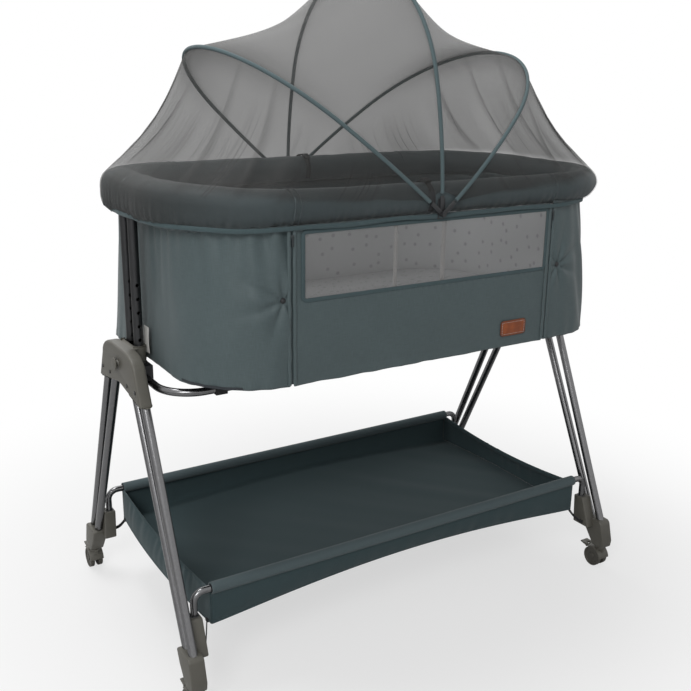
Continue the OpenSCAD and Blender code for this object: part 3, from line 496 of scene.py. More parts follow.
def cloth_finish(name, colour, slub=0.16, sheen=0.12, of="UV", pitch=0.0016, rough=0.88):
    """Woven cloth with thicker and thinner threads both ways."""
    f = Finish(name, Roughness=rough, Sheen_Weight=sheen, Sheen_Roughness=0.45)
    f.set(Specular_IOR_Level=0.25 if rough > 0.8 else 0.4)
    across = f.noise(1.0, 3.0, (60, 1400, 1), of)
    down = f.noise(1.0, 3.0, (1400, 60, 1), of)
    cloud = f.noise(9.0, 3.0, (1, 1, 1), of)
    mix = across * 0.4 + down * 0.4 + cloud * 0.2
    f.set(Base_Color=f.between(mix.kept(0.32, 0.68), shade(colour, 1 - slub), shade(colour, 1 + slub)))
    place = f.place((1, 1, 1), of)
    weave = f.axis(place, 0).wave(pitch) * f.axis(place, 1).wave(pitch)
    return f.relief(weave * 0.5 + across * 0.6 + down * 0.6, 0.35, 0.0004)


def steel_finish(name, colour, rough, metal=1.0):
    """Drawn tube: fine streaks, with a little haze."""
    f = Finish(name, Metallic=metal)
    streak, haze = f.noise(1.0, 4.0, (900, 900, 40)), f.noise(14.0, 3.0)
    f.set(Base_Color=f.between(streak.kept(0.3, 0.7), shade(colour, 0.86), shade(colour, 1.1)))
    f.set(Roughness=rough + haze * 0.12 + streak * 0.08 - 0.1)
    return f.relief(streak, 0.12, 0.0001)


def moulded_finish(name, colour, rough=0.5, grain=0.14):
    """Moulded plastic: a fine spark texture, rubbed smoother in places."""
    f = Finish(name)
    fine, rubbed = f.noise(2600.0, 2.0), f.noise(22.0, 4.0)
    f.set(Base_Color=f.between(rubbed.kept(0.3, 0.75), shade(colour, 0.92), shade(colour, 1.08)))
    f.set(Roughness=rough + (rubbed - 0.5) * 0.25)
    return f.relief(fine, grain, 0.0002)


def net_finish(name, colour, cover, pitch=0.0016, creased=False):
    """Fine net: part of each small square is thread. The attribute fold is 1 where it lies double."""
    f = Finish(name, Base_Color=colour, Roughness=0.7, Specular_IOR_Level=0.3)
    place = f.place((1, 1, 1), "UV")
    thread = f.axis(place, 0).wave(pitch) * 0.5 + f.axis(place, 1).wave(pitch) * 0.5
    fold = f.node("ShaderNodeAttribute", {"attribute_name": "fold"}, out="Fac")
    alpha = cover + (thread - 0.5) * 0.16 + fold * 0.4
    if creased:
        thin, wide = f.noise(1.0, 1.0, (30, 0.35, 1), "UV"), f.noise(1.0, 2.0, (9, 0.8, 1), "UV")
        crease = (1 - abs(thin - 0.5).kept(0.004, 0.016)) * wide.kept(0.42, 0.6)
        loose = f.node("ShaderNodeAttribute", {"attribute_name": "loose"}, out="Fac")
        alpha = alpha + crease * loose * 0.20 + (wide - 0.5) * loose * 0.4
    f.set(Alpha=alpha)
    return f


def webbing_finish(name, colour):
    """Webbing with ribs across it."""
    f = Finish(name, Roughness=0.75)
    rib = f.axis(f.place((1, 1, 1), "UV"), 0).wave(0.0016)
    f.set(Base_Color=f.between(rib, shade(colour, 0.75), shade(colour, 1.25)))
    return f.relief(rib, 0.5, 0.0003)


def basket_finish():
    """The basket's cloth, with a painted highlight that makes it paler where it goes round the rails, and the
    stitched line below.
    """
    f = cloth_finish("basket_cloth", paint(51, 62, 65), 0.14)
    high = f.axis(f.place(), 2)
    thread = f.noise(1.0, 3.0, (900, 900, 1), "UV")
    dark = f.between(thread.kept(0.3, 0.7), paint(47, 61, 64), paint(59, 75, 78))
    # pale is a painted highlight: the sleeves round the rails, above about z 0.178, are made lighter as if lit
    # from above
    pale = f.between(thread.kept(0.3, 0.7), paint(70, 82, 85), paint(86, 98, 101))
    seam = 1 - abs(high - 0.1765).kept(0.0006, 0.0018)
    f.set(Base_Color=f.between(high.kept(0.178, 0.184) * (1 - seam), dark, pale))
    return f.relief(thread * 0.6 - seam * 1.5, 0.4, 0.0006)


def lining_finish(name, tone=1.0):
    """Light grey cotton with a scatter of small printed dots. tone scales all its colours; a tone below 1 is
    painted shade.
    """
    f = Finish(name, Roughness=0.9, Sheen_Weight=0.1, Specular_IOR_Level=0.2)
    sockets = {"Vector": f.place((1, 1, 1), "UV"), "Scale": 30.0, "Randomness": 0.75}
    spots = f.node("ShaderNodeTexVoronoi", {"voronoi_dimensions": "2D"}, sockets)
    thread = f.noise(1.0, 2.0, (1200, 1200, 1), "UV")
    dark, pale, dot = (shade(paint(*c), tone) for c in ((200, 201, 203), (216, 217, 219), (174, 175, 177)))
    ground = f.between(thread.kept(0.3, 0.7), dark, pale)
    f.set(Base_Color=f.between(spots.kept(0.16, 0.08), ground, dot))
    return f.relief(thread, 0.3, 0.0003)


def leather_finish():
    """Brown leather, darker towards the patch's edges."""
    f = Finish("patch_leather")
    sockets = {"Vector": f.place(), "Scale": 900.0}
    grain = f.node("ShaderNodeTexVoronoi", {"feature": "DISTANCE_TO_EDGE"}, sockets)
    cloud, at = f.noise(60.0, 4.0), f.place()
    from_end = abs(f.axis(at, 0) - PATCH_AT[0]).kept(0.020, 0.029)
    from_side = abs(f.axis(at, 2) - PATCH_AT[1]).kept(0.008, 0.0145)
    worn = from_end + from_side
    tone = f.between(cloud.kept(0.3, 0.7), paint(124, 60, 26), paint(146, 76, 36))
    f.set(Base_Color=f.between(worn.kept(0.0, 1.6), tone, paint(84, 40, 20)), Roughness=0.45 + cloud * 0.2)
    return f.relief(grain, 0.35, 0.0004)


def plain_finish(name, colour, rough, relief=0.2, size=800.0, metal=0.0):
    """A fine, even grain, for small pieces."""
    f = Finish(name, Metallic=metal)
    fine = f.noise(size, 3.0)
    f.set(Base_Color=f.between(fine.kept(0.3, 0.7), shade(colour, 0.88), shade(colour, 1.12)))
    f.set(Roughness=rough + (fine - 0.5) * 0.2)
    return f.relief(fine, relief, 0.0002)


FINISH = {
    "leg_steel": steel_finish("leg_steel", (0.17, 0.17, 0.174), 0.24),
    "upright_steel": steel_finish("upright_steel", (0.055, 0.056, 0.058), 0.38, 0.9),
    "latch_steel": steel_finish("latch_steel", (0.42, 0.42, 0.42), 0.35),
    "grey_plastic": moulded_finish("grey_plastic", paint(86, 84, 77)),
    "wheel_rubber": moulded_finish("wheel_rubber", paint(70, 68, 62), 0.6, 0.25),
    "black_plastic": moulded_finish("black_plastic", paint(38, 39, 41), 0.45, 0.1),
    "hoop_binding": cloth_finish("hoop_binding", paint(84, 99, 102), 0.1, 0.1, pitch=0.0012),
    "webbing": webbing_finish("webbing", paint(22, 23, 25)),
    "cloth": cloth_finish("cloth", paint(74, 87, 89), rough=0.54),
    "rim_cloth": cloth_finish("rim_cloth", paint(64, 75, 78), 0.12, 0.2, rough=0.62),
    "hem_cloth": cloth_finish("hem_cloth", paint(70, 85, 88), 0.12),
    "zip_coil": plain_finish("zip_coil", paint(50, 59, 61), 0.6),
    "basket_cloth": basket_finish(),
    "lining_cloth": lining_finish("lining_cotton"),
    "window_ribbon": cloth_finish("window_ribbon", paint(172, 170, 169), 0.04),
    # mattress_cover is the lining cloth darkened to 0.62: painted shade, so that the mattress, lit from above,
    # shows no lighter than the lining wall
    "mattress_cover": lining_finish("mattress_cover", 0.62),
    "board": plain_finish("board_cover", paint(46, 50, 54), 0.9, 0.5, 500.0),
    "mesh": net_finish("window_mesh", paint(136, 136, 135), 0.40),
    "rear_mesh": net_finish("rear_mesh", paint(112, 111, 108), 0.8),
    "net": net_finish("net", paint(58, 58, 57), 0.54, 0.0016, True),
    "patch_leather": leather_finish(),
    "label_cloth": cloth_finish("label_cloth", paint(196, 196, 192), 0.04, 0.0, of="Object"),
    "zip_metal": plain_finish("zip_metal", paint(58, 63, 65), 0.4, 0.1, 900.0, 0.5),
}


def dress(piece, finish, body, replaces=()):
    """Gives a piece its finish, its body and the nodes that it stands for."""
    piece.data.materials.clear()
    piece.data.materials.append(FINISH[finish].material)
    if body:
        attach(piece, body)
    if replaces:
        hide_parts(*replaces)
    return piece


# Camera, floor and light


def set_camera():
    """The camera stands and looks as the one that took the photo."""
    yaw, pitch, roll = (math.radians(a) for a in (CAMERA_YAW, CAMERA_PITCH, CAMERA_ROLL))
    ahead = Vector((math.sin(yaw) * math.cos(pitch), math.cos(yaw) * math.cos(pitch), -math.sin(pitch)))
    level = Vector((math.cos(yaw), -math.sin(yaw), 0))
    right = level * math.cos(roll) + level.cross(ahead) * math.sin(roll)
    turn = Matrix((right, right.cross(ahead), -ahead)).transposed().to_4x4()
    data = bpy.data.cameras.new("camera")
    data.sensor_width, data.lens = SENSOR_MM, FOCAL_PX / PHOTO_PX * SENSOR_MM
    data.clip_start, data.clip_end = 0.05, 60
    camera = bpy.data.objects.new("camera", data)
    scene.collection.objects.link(camera)
    camera.matrix_world = Matrix.Translation(CAMERA_AT) @ turn
    scene.camera = camera


def set_light():
    """The lamps, and a world that looks white but lights the scene more dimly."""
    scene.view_settings.view_transform = "Standard"
    world = bpy.data.worlds.new("studio")
    scene.world = world
    world.use_nodes = True
    tree = world.node_tree
    tree.nodes.clear()
    path = tree.nodes.new("ShaderNodeLightPath")
    seen = path.outputs["Is Camera Ray"]
    for ray in ("Is Glossy Ray", "Is Transmission Ray"):
        larger = tree.nodes.new("ShaderNodeMath")
        larger.operation = "MAXIMUM"
        tree.links.new(seen, larger.inputs[0])
        tree.links.new(path.outputs[ray], larger.inputs[1])
        seen = larger.outputs[0]
    mixed = tree.nodes.new("ShaderNodeMixShader")
    tree.links.new(seen, mixed.inputs[0])
    for k, strength in ((1, WORLD_LIGHT), (2, 1.0)):
        background = tree.nodes.new("ShaderNodeBackground")
        background.inputs["Color"].default_value = (1, 1, 1, 1)
        background.inputs["Strength"].default_value = strength
        tree.links.new(background.outputs[0], mixed.inputs[k])
    output = tree.nodes.new("ShaderNodeOutputWorld")
    tree.links.new(mixed.outputs[0], output.inputs[0])
    for name, (at, size, power) in LAMPS.items():
        data = bpy.data.lights.new(name, "AREA")
        data.size, data.energy = size, power
        lamp = bpy.data.objects.new(name, data)
        scene.collection.objects.link(lamp)
        lamp.location = at
        lamp.rotation_mode = "QUATERNION"
        lamp.rotation_quaternion = (Vector((0, 0, 0.55)) - Vector(at)).to_track_quat("-Z", "Y")


def make_floor():
    """A pale floor that keeps the shadow near the cradle and turns into the white background further out."""
    bpy.ops.mesh.primitive_plane_add(size=24, location=(0, 0, -0.0006))
    floor = new_piece("studio_floor")
    settle(floor)
    f = Finish("floor_white", Base_Color=(0.72, 0.72, 0.72, 1), Roughness=0.9, Specular_IOR_Level=0.0)
    at = f.place()
    x, y = f.axis(at, 0), f.axis(at, 1)
    away = (x * x + y * y) ** 0.5
    path = f.node("ShaderNodeLightPath", out="Is Camera Ray")
    white = f.node("ShaderNodeEmission", {}, {"Color": (1, 1, 1, 1), "Strength": 1.0})
    share = (0.62 + away.kept(0.35, 1.25) * 0.38) * path
    mixed = f.node("ShaderNodeMixShader", {}, {0: share, 1: Wire(f, f.shader.outputs[0]), 2: white})
    f.join(mixed, f.tree.nodes["Material Output"].inputs["Surface"])
    floor.data.materials.append(f.material)


# Padded rim


def left_share(x, reach=RIM_LEFT[1]):
    """How far round the left end a point of the rim lies, from 0 to 1."""
    return np.clip((-x - 0.252) / reach, 0, 1) ** 1.5


def rim_at(s):
    """The rim's middle line at distance s, drawn in at the left end, where the padding is thicker."""
    x, y, nx, ny = around(s, RIM_RIGHT, RIM_LEFT, RIM_HALF_W)
    pull = 0.0138 * left_share(x)
    return x - nx * pull, y - ny * pull, nx, ny


def rim_line(s):
    """Middle line of the padded rim at s from 0 to 1."""
    return rim_at(s * girth(RIM_RIGHT, RIM_LEFT, RIM_HALF_W))


def rim_radius(s, x, y, a):
    """Radius of the roll at angle a of its section: 0 faces out and a quarter turn faces up."""
    soft = 0.0008 * lumps(s, 5, 14, 3) + 0.0006 * lumps(s, 20, 46, 4) * np.sin(a + 4 * lumps(s, 2, 5, 5))
    crest = 0.0045 * bump(x, -0.30, 0.11) * (y < 0) * np.clip(np.sin(a), 0, 1)
    under = np.clip(-np.sin(a - 0.5), 0, 1) ** 2
    at_left = left_share(x, PUFF_REACH)
    pucker = 0.0019 * under * lumps(s, 110, 190, 6) * (0.25 + 0.75 * np.clip(bump(x, -0.40, 0.15), 0, 1))
    droop = 0.0040 * np.clip(-np.sin(a), 0, 1) ** 1.5 * bump(x, -0.36, 0.12)
    thick = at_left * (0.0070 + 0.0034 * np.sin(2 * a) ** 2)
    tucked = -0.0030 * np.clip((x - 0.33) / 0.09, 0, 1) * np.clip(-np.sin(2 * a), 0, 1) * (np.cos(a) > 0)
    return RIM_R + 0.0006 + soft + crest + pucker + droop + thick + tucked


def make_rim():
    def place(u, v):
        x, y, nx, ny = rim_line(u)
        a = v * TAU
        r = rim_radius(u, x, y, a)
        return x + nx * r * np.cos(a), y + ny * r * np.cos(a), RIM_Z + r * np.sin(a)

    roll = woven("rim_roll", 1180, 34, place, (2.36, 0.157), wrap="uv")
    dress(roll, "rim_cloth", "cot", replaces=["rim_padding"])
    seams = []
    for seam_x in (-0.266, -0.256, 0.252):
        a = np.linspace(math.radians(-62), math.radians(165), 46)
        for side in (-1, 1):
            r = rim_radius(0.5, seam_x, side * RIM_HALF_W, a) + 0.0003
            x, y = seam_x + 0.0012 * np.sin(3 * a), side * (RIM_HALF_W + r * np.cos(a))
            path, out = points(x, y, RIM_Z + r * np.sin(a)), points(0, side * np.cos(a), np.sin(a))
            seams.append(band("seam", path, out, 0.0014, 0.0011, 8))
    dress(joined("rim_seams", seams), "rim_cloth", "cot")


# Cot cloth


def cloth_frame(f):
    """Ends of the cloth's outline at f, from 0 at the hem to 1 at the rim."""
    return (0.4135 - 0.0088 * f, 0.118 + 0.038 * f), (0.4105 - 0.0060 * f, 0.130 + 0.030 * f)


def under_rim(x, y):
    """Height of the roll's underside above the cloth's upper edge."""
    a = np.abs(x) - RIM_RIGHT[0] + RIM_RIGHT[1]
    b = np.abs(y) - RIM_HALF_W + RIM_RIGHT[1]
    d = np.hypot(np.maximum(a, 0), np.maximum(b, 0)) + np.minimum(np.maximum(a, b), 0) - RIM_RIGHT[1]
    off = np.minimum(np.maximum(np.abs(d - 0.00125) - 0.003, 0), 0.02)
    return RIM_Z - np.sqrt(RIM_R**2 - off**2) + 0.001


def cloth_swing(t, f, x, y, z, nx):
    """How far the cloth stands out of its plain outline."""
    end = nx**2
    rise = hump(np.clip(f, 0, 1))
    corner = bump(x, -0.335, 0.07) * (y < 0) * ease((-0.274 - x) / 0.022)
    out = 0.0024 * rise * (1 - 0.5 * end)
    out += corner * rise**0.6 * (0.0020 + 0.0075 * lumps(t, 17, 36, 16) * lumps(f * 0.55 + t, 2, 4, 17))
    out += 0.0030 * corner * rise**0.5 * lumps(t + 0.02 * f, 34, 60, 18) * (0.15 + 0.85 * f**2)
    out += 0.0010 * np.exp(-f / 0.09) * lumps(t, 60, 95, 11)
    out += 0.0022 * np.exp(-(1 - f) / 0.16) * lumps(t + 0.01 * f, 50, 90, 12) * (0.5 + 1.3 * (x < -0.2))
    out += 0.0050 * ease((x - 0.29) / 0.06) * (rise**0.5 + 0.2) * lumps(t + 0.035 * f, 22, 44, 13)
    out += 0.0012 * rise * lumps(t + 0.03 * f, 8, 18, 14) * (1 - 0.6 * end)
    out += 0.0075 * bump(x, -0.375, 0.055) * (y > 0) * np.exp(-f / 0.22)
    for k, (tx, tz) in enumerate(TOGGLES):
        r = np.hypot(x - tx, z - tz) + 1e-6
        turn = np.arctan2(z - tz, x - tx)
        near = (y < 0) * np.exp(-((r / 0.050) ** 2))
        out = out * (1 - 0.8 * (y < 0) * np.exp(-((r / 0.022) ** 2)))
        out += near * 0.0072 * (np.abs(np.sin(3.5 * turn + 0.4 + k)) - 0.5) * np.clip(r / 0.014, 0, 1)
        out -= (y < 0) * 0.0025 * np.exp(-((r / 0.009) ** 2))
    middle = np.exp(-((y / 0.07) ** 4)) * (np.abs(x) > 0.38)
    return out * (1 - 0.75 * middle)


def cloth_point(s, f):
    """Point of the cot's outer cloth at distance s from the middle of the front, at height f from 0 to 1."""
    right, left = cloth_frame(f)
    x, y, nx, ny = around(s, right, left, CLOTH_HALF_W)
    t = s / girth(right, left, CLOTH_HALF_W)
    low = CLOTH_LOW + 0.0040 + 0.0010 * lumps(t, 10, 22, 15) + 0.0012 * bump(x, -0.35, 0.06) * (y < 0)
    z = low + (under_rim(x, y) - low) * f
    out = cloth_swing(t, f, x, y, z, nx)
    return x + nx * out, y + ny * out, z


def cloth_arc(f, x, front):
    """Distance along the cloth's outline, at height f, of the point at x on its front or rear side."""
    right, left = cloth_frame(f)
    l1, r1 = right
    if front:
        return np.where(x < 0, girth(right, left, CLOTH_HALF_W) + x, x)
    return l1 - r1 + math.pi * r1 + 2 * (CLOTH_HALF_W - r1) + (l1 - r1 - x)


def in_window(point, edge=0.0):
    """Whether a point lies in the window's opening, the edge above and below left out."""
    return WINDOW_X[0] < point.x < WINDOW_X[1] and WINDOW_Z[0] + edge < point.z < WINDOW_Z[1] - edge


def make_cot_cloth():
    """Outer cloth from zip to zip, round both ends and the rear."""
    rows = np.array([0.0, 0.5516, 0.956, 1.0])
    share_v = np.array([0.0, 36 / 63, 60 / 63, 1.0])
    share_u = np.array([0.0, 250 / 620, 370 / 620, 1.0])

    def place(u, v):
        f = np.interp(v, share_v, rows)
        stops = [cloth_arc(f, ZIP_X[1] + 0.003, True), cloth_arc(f, WINDOW_X[1], False),
                 cloth_arc(f, WINDOW_X[0], False), cloth_arc(f, ZIP_X[0] - 0.003, True)]
        s = np.zeros_like(u)
        for k in range(3):
            part = (u - share_u[k]) / (share_u[k + 1] - share_u[k])
            s = np.where((u >= share_u[k] - 1e-9), stops[k] + part * (stops[k + 1] - stops[k]), s)
        return cloth_point(s, f)

    wall = woven("cot_cloth", 620, 63, place, (1.72, 0.252))
    drop_faces(wall, lambda c: c.y > 0.2 and in_window(c, 0.001))
    thicken(wall, CLOTH_THICK)
    dress(wall, "cloth", "cot", replaces=["outer_cloth"])


def make_panel():
    """Cloth of the drop side, in one with the low band that it folds on."""
    x0, x1 = PANEL_X
    xs = np.array([x0, WINDOW_X[0], WINDOW_X[1], x1])
    zs = np.array([CLOTH_LOW + 0.004, PANEL_LOW, WINDOW_Z[0], WINDOW_Z[1], PANEL_TOP])
    at_u, at_v = np.array([0, 8, 216, 220]) / 220, np.array([0, 8, 46, 82, 86]) / 86

    def place(u, v):
        x, z = np.interp(u, at_u, xs), np.interp(v, at_v, zs)
        t = (x - x0) / (x1 - x0)
        g = np.clip((z - PANEL_LOW) / (WINDOW_Z[0] - PANEL_LOW), 0, 1)
        band_g = np.clip((PANEL_LOW - z) / (PANEL_LOW - CLOTH_LOW - 0.004), 0, 1)
        belly = 0.0022 * hump(g) ** 0.6 * hump(t) ** 0.3
        soft = 0.0010 * hump(g) * lumps(t * 0.7 + 0.06 * g, 3, 9, 21)
        hem = 0.0006 * bump(g, 0.97, 0.03) * lumps(t, 30, 52, 23) + 0.0006 * band_g * lumps(t, 8, 18, 22)
        return x, -0.2522 - belly - soft - hem, z + 0.0006 * band_g * lumps(t, 3, 8, 24)

    panel = woven("panel_cloth", 220, 86, place, (x1 - x0, PANEL_TOP - CLOTH_LOW))
    drop_faces(panel, in_window)
    thicken(panel, CLOTH_THICK)
    dress(panel, "cloth", None, replaces=["drop_panel"])
    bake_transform(panel, "cot", "drop_side", (0, -0.2522, PANEL_LOW - 0.0015), (0, -0.2522, PANEL_LOW + 0.0005))


def window_path(y, grow):
    """A closed line round the window, a little outside its opening."""
    x0, x1, z0, z1 = WINDOW_X[0] - grow, WINDOW_X[1] + grow, WINDOW_Z[0] - grow, WINDOW_Z[1] + grow
    corners = [np.array(c) for c in ((x0, z0), (x1, z0), (x1, z1), (x0, z1))]
    path = []
    for k, a in enumerate(corners):
        b = corners[(k + 1) % 4]
        count = 60 if k % 2 == 0 else 24
        inset = 0.004 / np.linalg.norm(b - a)
        path += [a + (b - a) * (inset + (1 - 2 * inset) * i / count) for i in range(count + 1)]
    return [(p[0], y, p[1]) for p in path]


def make_windows():
    """Mesh and binding of both windows, and the two ribbons on the front one."""
    wide, tall, seam = 0.490, 0.106, 0.002
    for name, y, body, out in (("front_window", -0.2513, "drop_side", -1), ("rear_window", 0.2508, "cot", 1)):
        def place(u, v, y=y, out=out):
            x = WINDOW_X[0] - seam + u * wide
            z = WINDOW_Z[0] - seam + v * tall
            sag = 0.0016 * hump(u) * hump(v)
            return x, y + out * sag + 0.0002 * lumps(u, 8, 20, 31) * hump(v), z

        net = woven(name, 90, 20, place, (wide, tall))
        dress(net, "mesh" if out < 0 else "rear_mesh", body, replaces=[f"{name}_mesh"])
        edge = window_path(out * 0.2532, 0.0015)
        welt = band(f"{name}_binding", edge, (0, out, 0), 0.0034, 0.0011, closed=True, power=0.8)
        dress(welt, "hem_cloth", body)
    for k, (x, wide) in enumerate(((-0.081, 0.0038), (0.014, 0.0046))):
        z = np.linspace(WINDOW_Z[0] - 0.001, WINDOW_Z[1] + 0.001, 14)
        ribbon = band(f"window_ribbon_{k}", points(x, -0.2497, z), (0, -1, 0), wide, 0.0005, 8, power=0.5)
        dress(ribbon, "window_ribbon", "drop_side")


def make_lining():
    """Wall of the lining, its part on the drop side, and the band under the roll."""
    ends = (0.3975, 0.152), (0.3965, 0.166)
    whole = girth(*ends, LINING_HALF_W)
    zs, at_v = np.array([BOARD_TOP, *WINDOW_Z, 0.766]), np.array([0, 16, 28, 30]) / 30

    def rear_arc(x):
        (l1, r1), _ = ends
        return l1 - r1 + math.pi * r1 + 2 * (LINING_HALF_W - r1) + (l1 - r1 - x)

    front_x = -0.264, 0.252
    stops = [front_x[1], rear_arc(WINDOW_X[1]), rear_arc(WINDOW_X[0]), whole + front_x[0]]
    at_u = np.array([0, 150, 240, 390]) / 390

    def place(u, v):
        s, z = np.interp(u, at_u, stops), np.interp(v, at_v, zs)
        x, y, nx, ny = around(s, *ends, LINING_HALF_W)
        g = (z - BOARD_TOP) / 0.24
        t = s / whole
        belly = 0.0020 * hump(g) * (1 + 0.8 * lumps(t, 8, 20, 41))
        out = -belly - 0.0008 * np.exp(-(1 - g) / 0.1) * lumps(t, 50, 80, 42)
        return x + nx * out, y + ny * out, z

    wall = woven("lining_wall", 390, 30, place, (1.9, 0.24), flip=True)
    drop_faces(wall, lambda c: c.y > 0.2 and in_window(c))
    thicken(wall, 0.0015)
    wide, tall, low = 0.516, 0.117, 0.5380

    def front_place(u, v):
        belly = 0.0014 * hump(v) * (1 + 0.5 * lumps(u, 3, 8, 43))
        return front_x[0] + u * wide, -0.2466 + belly, low + v * (WINDOW_Z[0] - low)

    front = woven("lining_front", 110, 18, front_place, (wide, tall), thick=0.0012, flip=True)
    inset = 0.0028
    inner = [*((l - inset, r) for l, r in ends), LINING_HALF_W - inset]
    first, last = front_x[1], girth(*inner) + front_x[0]

    def facing_place(u, v):
        x, y, nx, ny = around(first + u * (last - first), *inner)
        wave = 0.0004 * lumps(u, 30, 60, 44)
        return x - nx * wave, y - ny * wave, 0.7405 + 0.026 * v + 0.0006 * lumps(u, 8, 18, 45)

    facing = woven("rim_facing", 320, 4, facing_place, (1.56, 0.026), thick=0.001, flip=True)
    dress(facing, "rim_cloth", "cot")
    dress(wall, "lining_cloth", "cot", replaces=["lining"])
    dress(front, "lining_cloth", "drop_side")


def make_mattress():
    """The mattress, crowned on top, with a piping round its upper and lower edge."""
    outline = (0.3895, 0.143), (0.3885, 0.156), 0.2315
    low, high = 0.5268, 0.5570

    def place(u, v):
        x, y, nx, ny = around(u * girth(*outline), *outline)
        across = np.interp(v, [0, 0.3, 0.5, 1], [0, 1, 1, 0])
        side = np.clip((v - 0.3) / 0.2, 0, 1)
        draw = 0.006 * np.abs(2 * side - 1) ** 2.5
        k = ease(across) ** 0.85
        top, wall = high + 0.006 * (1 - across**3), low + (high - low) * side
        z = np.where(v < 0.3, low, np.where(v > 0.5, top, wall))
        return (x - nx * draw) * k, (y - ny * draw) * k, z

    pad = woven("mattress_pad", 200, 60, place, (2.2, 0.6), wrap="u")
    work(pad, "SMOOTH", factor=0.4, iterations=2)
    # its cover is the lining cloth darkened as painted shade
    dress(pad, "mattress_cover", "cot", replaces=["mattress"])
    x, y, nx, ny = around(np.linspace(0, girth(*outline), 240, endpoint=False), *outline)
    for k, z in enumerate((low + 0.003, high - 0.001)):
        path = points(x - nx * 0.0035, y - ny * 0.0035, z)
        cord = band(f"mattress_piping_{k}", path, points(nx, ny, 0), 0.0016, 0.0016, 8, closed=True)
        dress(cord, "mattress_cover", "cot")


# Net and hoops


def rim_lengths():
    """Length of the rim all round, and of its half round the right end."""
    length, corner = RIM_RIGHT
    return girth(RIM_RIGHT, RIM_LEFT, RIM_HALF_W), 2 * length + 2 * RIM_HALF_W - (4 - math.pi) * corner


def net_rim(f, sign):
    """Middle line of the rim from its front middle round one end to its rear middle."""
    whole, half = rim_lengths()
    return rim_at(f * half if sign > 0 else whole - f * (whole - half))


def rim_share(f, sign):
    """Where a point of the net's foot lies round the whole rim, from 0 to 1."""
    whole, half = rim_lengths()
    return f * half / whole if sign > 0 else 1 - f * (whole - half) / whole


def hem_line(s, x, y, nx, ny):
    """The net's hem: how far out it is from the rim's middle line, its height, and the angle of the roll's
    section at which the net leaves the roll for it. The hem lies on the cloth and goes round the uprights."""
    wide, end = np.abs(ny), np.abs(nx)
    at_right = 0.0164 * wide - 0.0321 * end + 0.0081
    at_left = 0.0245 * wide + 0.0215 * end - 0.002 * (wide * end)
    past = bump(y, 0, 0.070) * (end > 0.5)
    out = np.where(x > 0, at_right + 0.0350 * past, at_left + 0.0090 * past)
    r = RIM_R + 0.0024 + 0.0085 * left_share(x, PUFF_REACH)
    leave = -np.minimum(np.arccos(np.clip(out / r, -1, 1)), math.radians(95))
    under = RIM_Z + (rim_radius(s, x, y, leave) + 0.0018) * np.sin(leave)
    return out, np.minimum(0.7652, under), leave


def make_net_end(side, sign):
    """The net from an end hoop down to the rim, over the roll and to its hem."""
    across, down = 260, 62
    on_rim, off_rim = 0.58, 0.80

    def parts(u, v):
        f = NET_FOOT + (1 - 2 * NET_FOOT) * u
        hx, hy, hz = hoop_line(side, f)
        x, y, nx, ny = net_rim(f, sign)
        share = rim_share(f, sign)
        # where the net touches the roll, which is not quite round
        out, up = (hx - x) * nx + (hy - y) * ny, hz - RIM_Z
        r = np.full_like(f, RIM_R + 0.004)
        for _ in range(3):
            far = np.maximum(np.hypot(out, up), r)
            touch = np.arctan2(up, out) - np.arccos(np.clip(r / far, -1, 1))
            r = np.maximum(rim_radius(share, x, y, touch), rim_radius(share, x, y, touch + 0.35)) + NET_OVER
        fx, fy, fz = x + nx * r * np.cos(touch), y + ny * r * np.cos(touch), RIM_Z + r * np.sin(touch)
        # it hangs between the hoop and the rim
        g = np.clip(v / on_rim, 0, 1)
        sag = 0.020 * hump(g) * hump(u) ** 0.8
        lines = sum(bump(u + 0.02 * (g - 0.5), at, 0.0048) for at in END_FOLDS[sign])
        ripple = (0.0035 * lines + 0.0016 * lumps(u, 10, 20, 51 + sign)) * hump(g) ** 0.6
        px = hx + (fx - hx) * g - sign * sag * 0.75 + sign * ripple
        py = hy + (fy - hy) * g
        pz = hz + (fz - hz) * g - sag * 0.75 + ripple
        # over the roll and down to the hem
        w = np.clip((v - on_rim) / (off_rim - on_rim), 0, 1)
        h = np.clip((v - off_rim) / (1 - off_rim), 0, 1)
        hem_out, hem_z, leave = hem_line(share, x, y, nx, ny)
        a = touch + (leave - touch) * w
        rr = np.maximum(rim_radius(share, x, y, a) + NET_OVER, r * (1 - w) + RIM_R * w)
        fall, drop = rr * np.cos(a), rr * np.sin(a)
        fall, drop = fall + (hem_out - fall) * h, drop + (hem_z - RIM_Z - drop) * h
        over = x + nx * fall, y + ny * fall, RIM_Z + drop
        return [np.where(v > on_rim, *pair) for pair in zip(over, (px, py, pz))], g, lines

    size = 1.25, 0.42
    net = woven(f"{side}_net_skirt", across, down, lambda u, v: parts(u, v)[0], size, flip=sign < 0)
    u, v = grid_of(net, across, down)
    _, g, lines = parts(u, v)
    on_roll = v > on_rim + 0.01
    near_rim = ease((g - 0.88) / 0.12)
    dense = 1.1 * left_share(net_rim(NET_FOOT + (1 - 2 * NET_FOOT) * u, sign)[0], PUFF_REACH) ** 2.5
    dark = 0.6 * bump(g, 0, 0.10) * hump(u) ** 3 + (0.22 if sign > 0 else 0.05) * g
    dark += 0.45 * lines * hump(np.clip(g * 0.95, 0, 1)) ** 0.5 + (dense - 0.95) * near_rim
    weigh(net, "fold", np.where(on_roll, dense - 0.95, dark))
    reach = ease((g - 0.12) / 0.5) * ease(u / 0.12) * ease((1 - u) / 0.12)
    weigh(net, "loose", np.where(on_roll, 0.15, reach))
    dress(net, "net", None, replaces=[f"{side}_net_end"])
    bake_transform(net, "cot", f"{side}_net_hoop", (0.0, 0, RIM_Z), (sign * 0.3, 0, 1.02))
    weigh(net, "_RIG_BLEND", ease(1 - g))


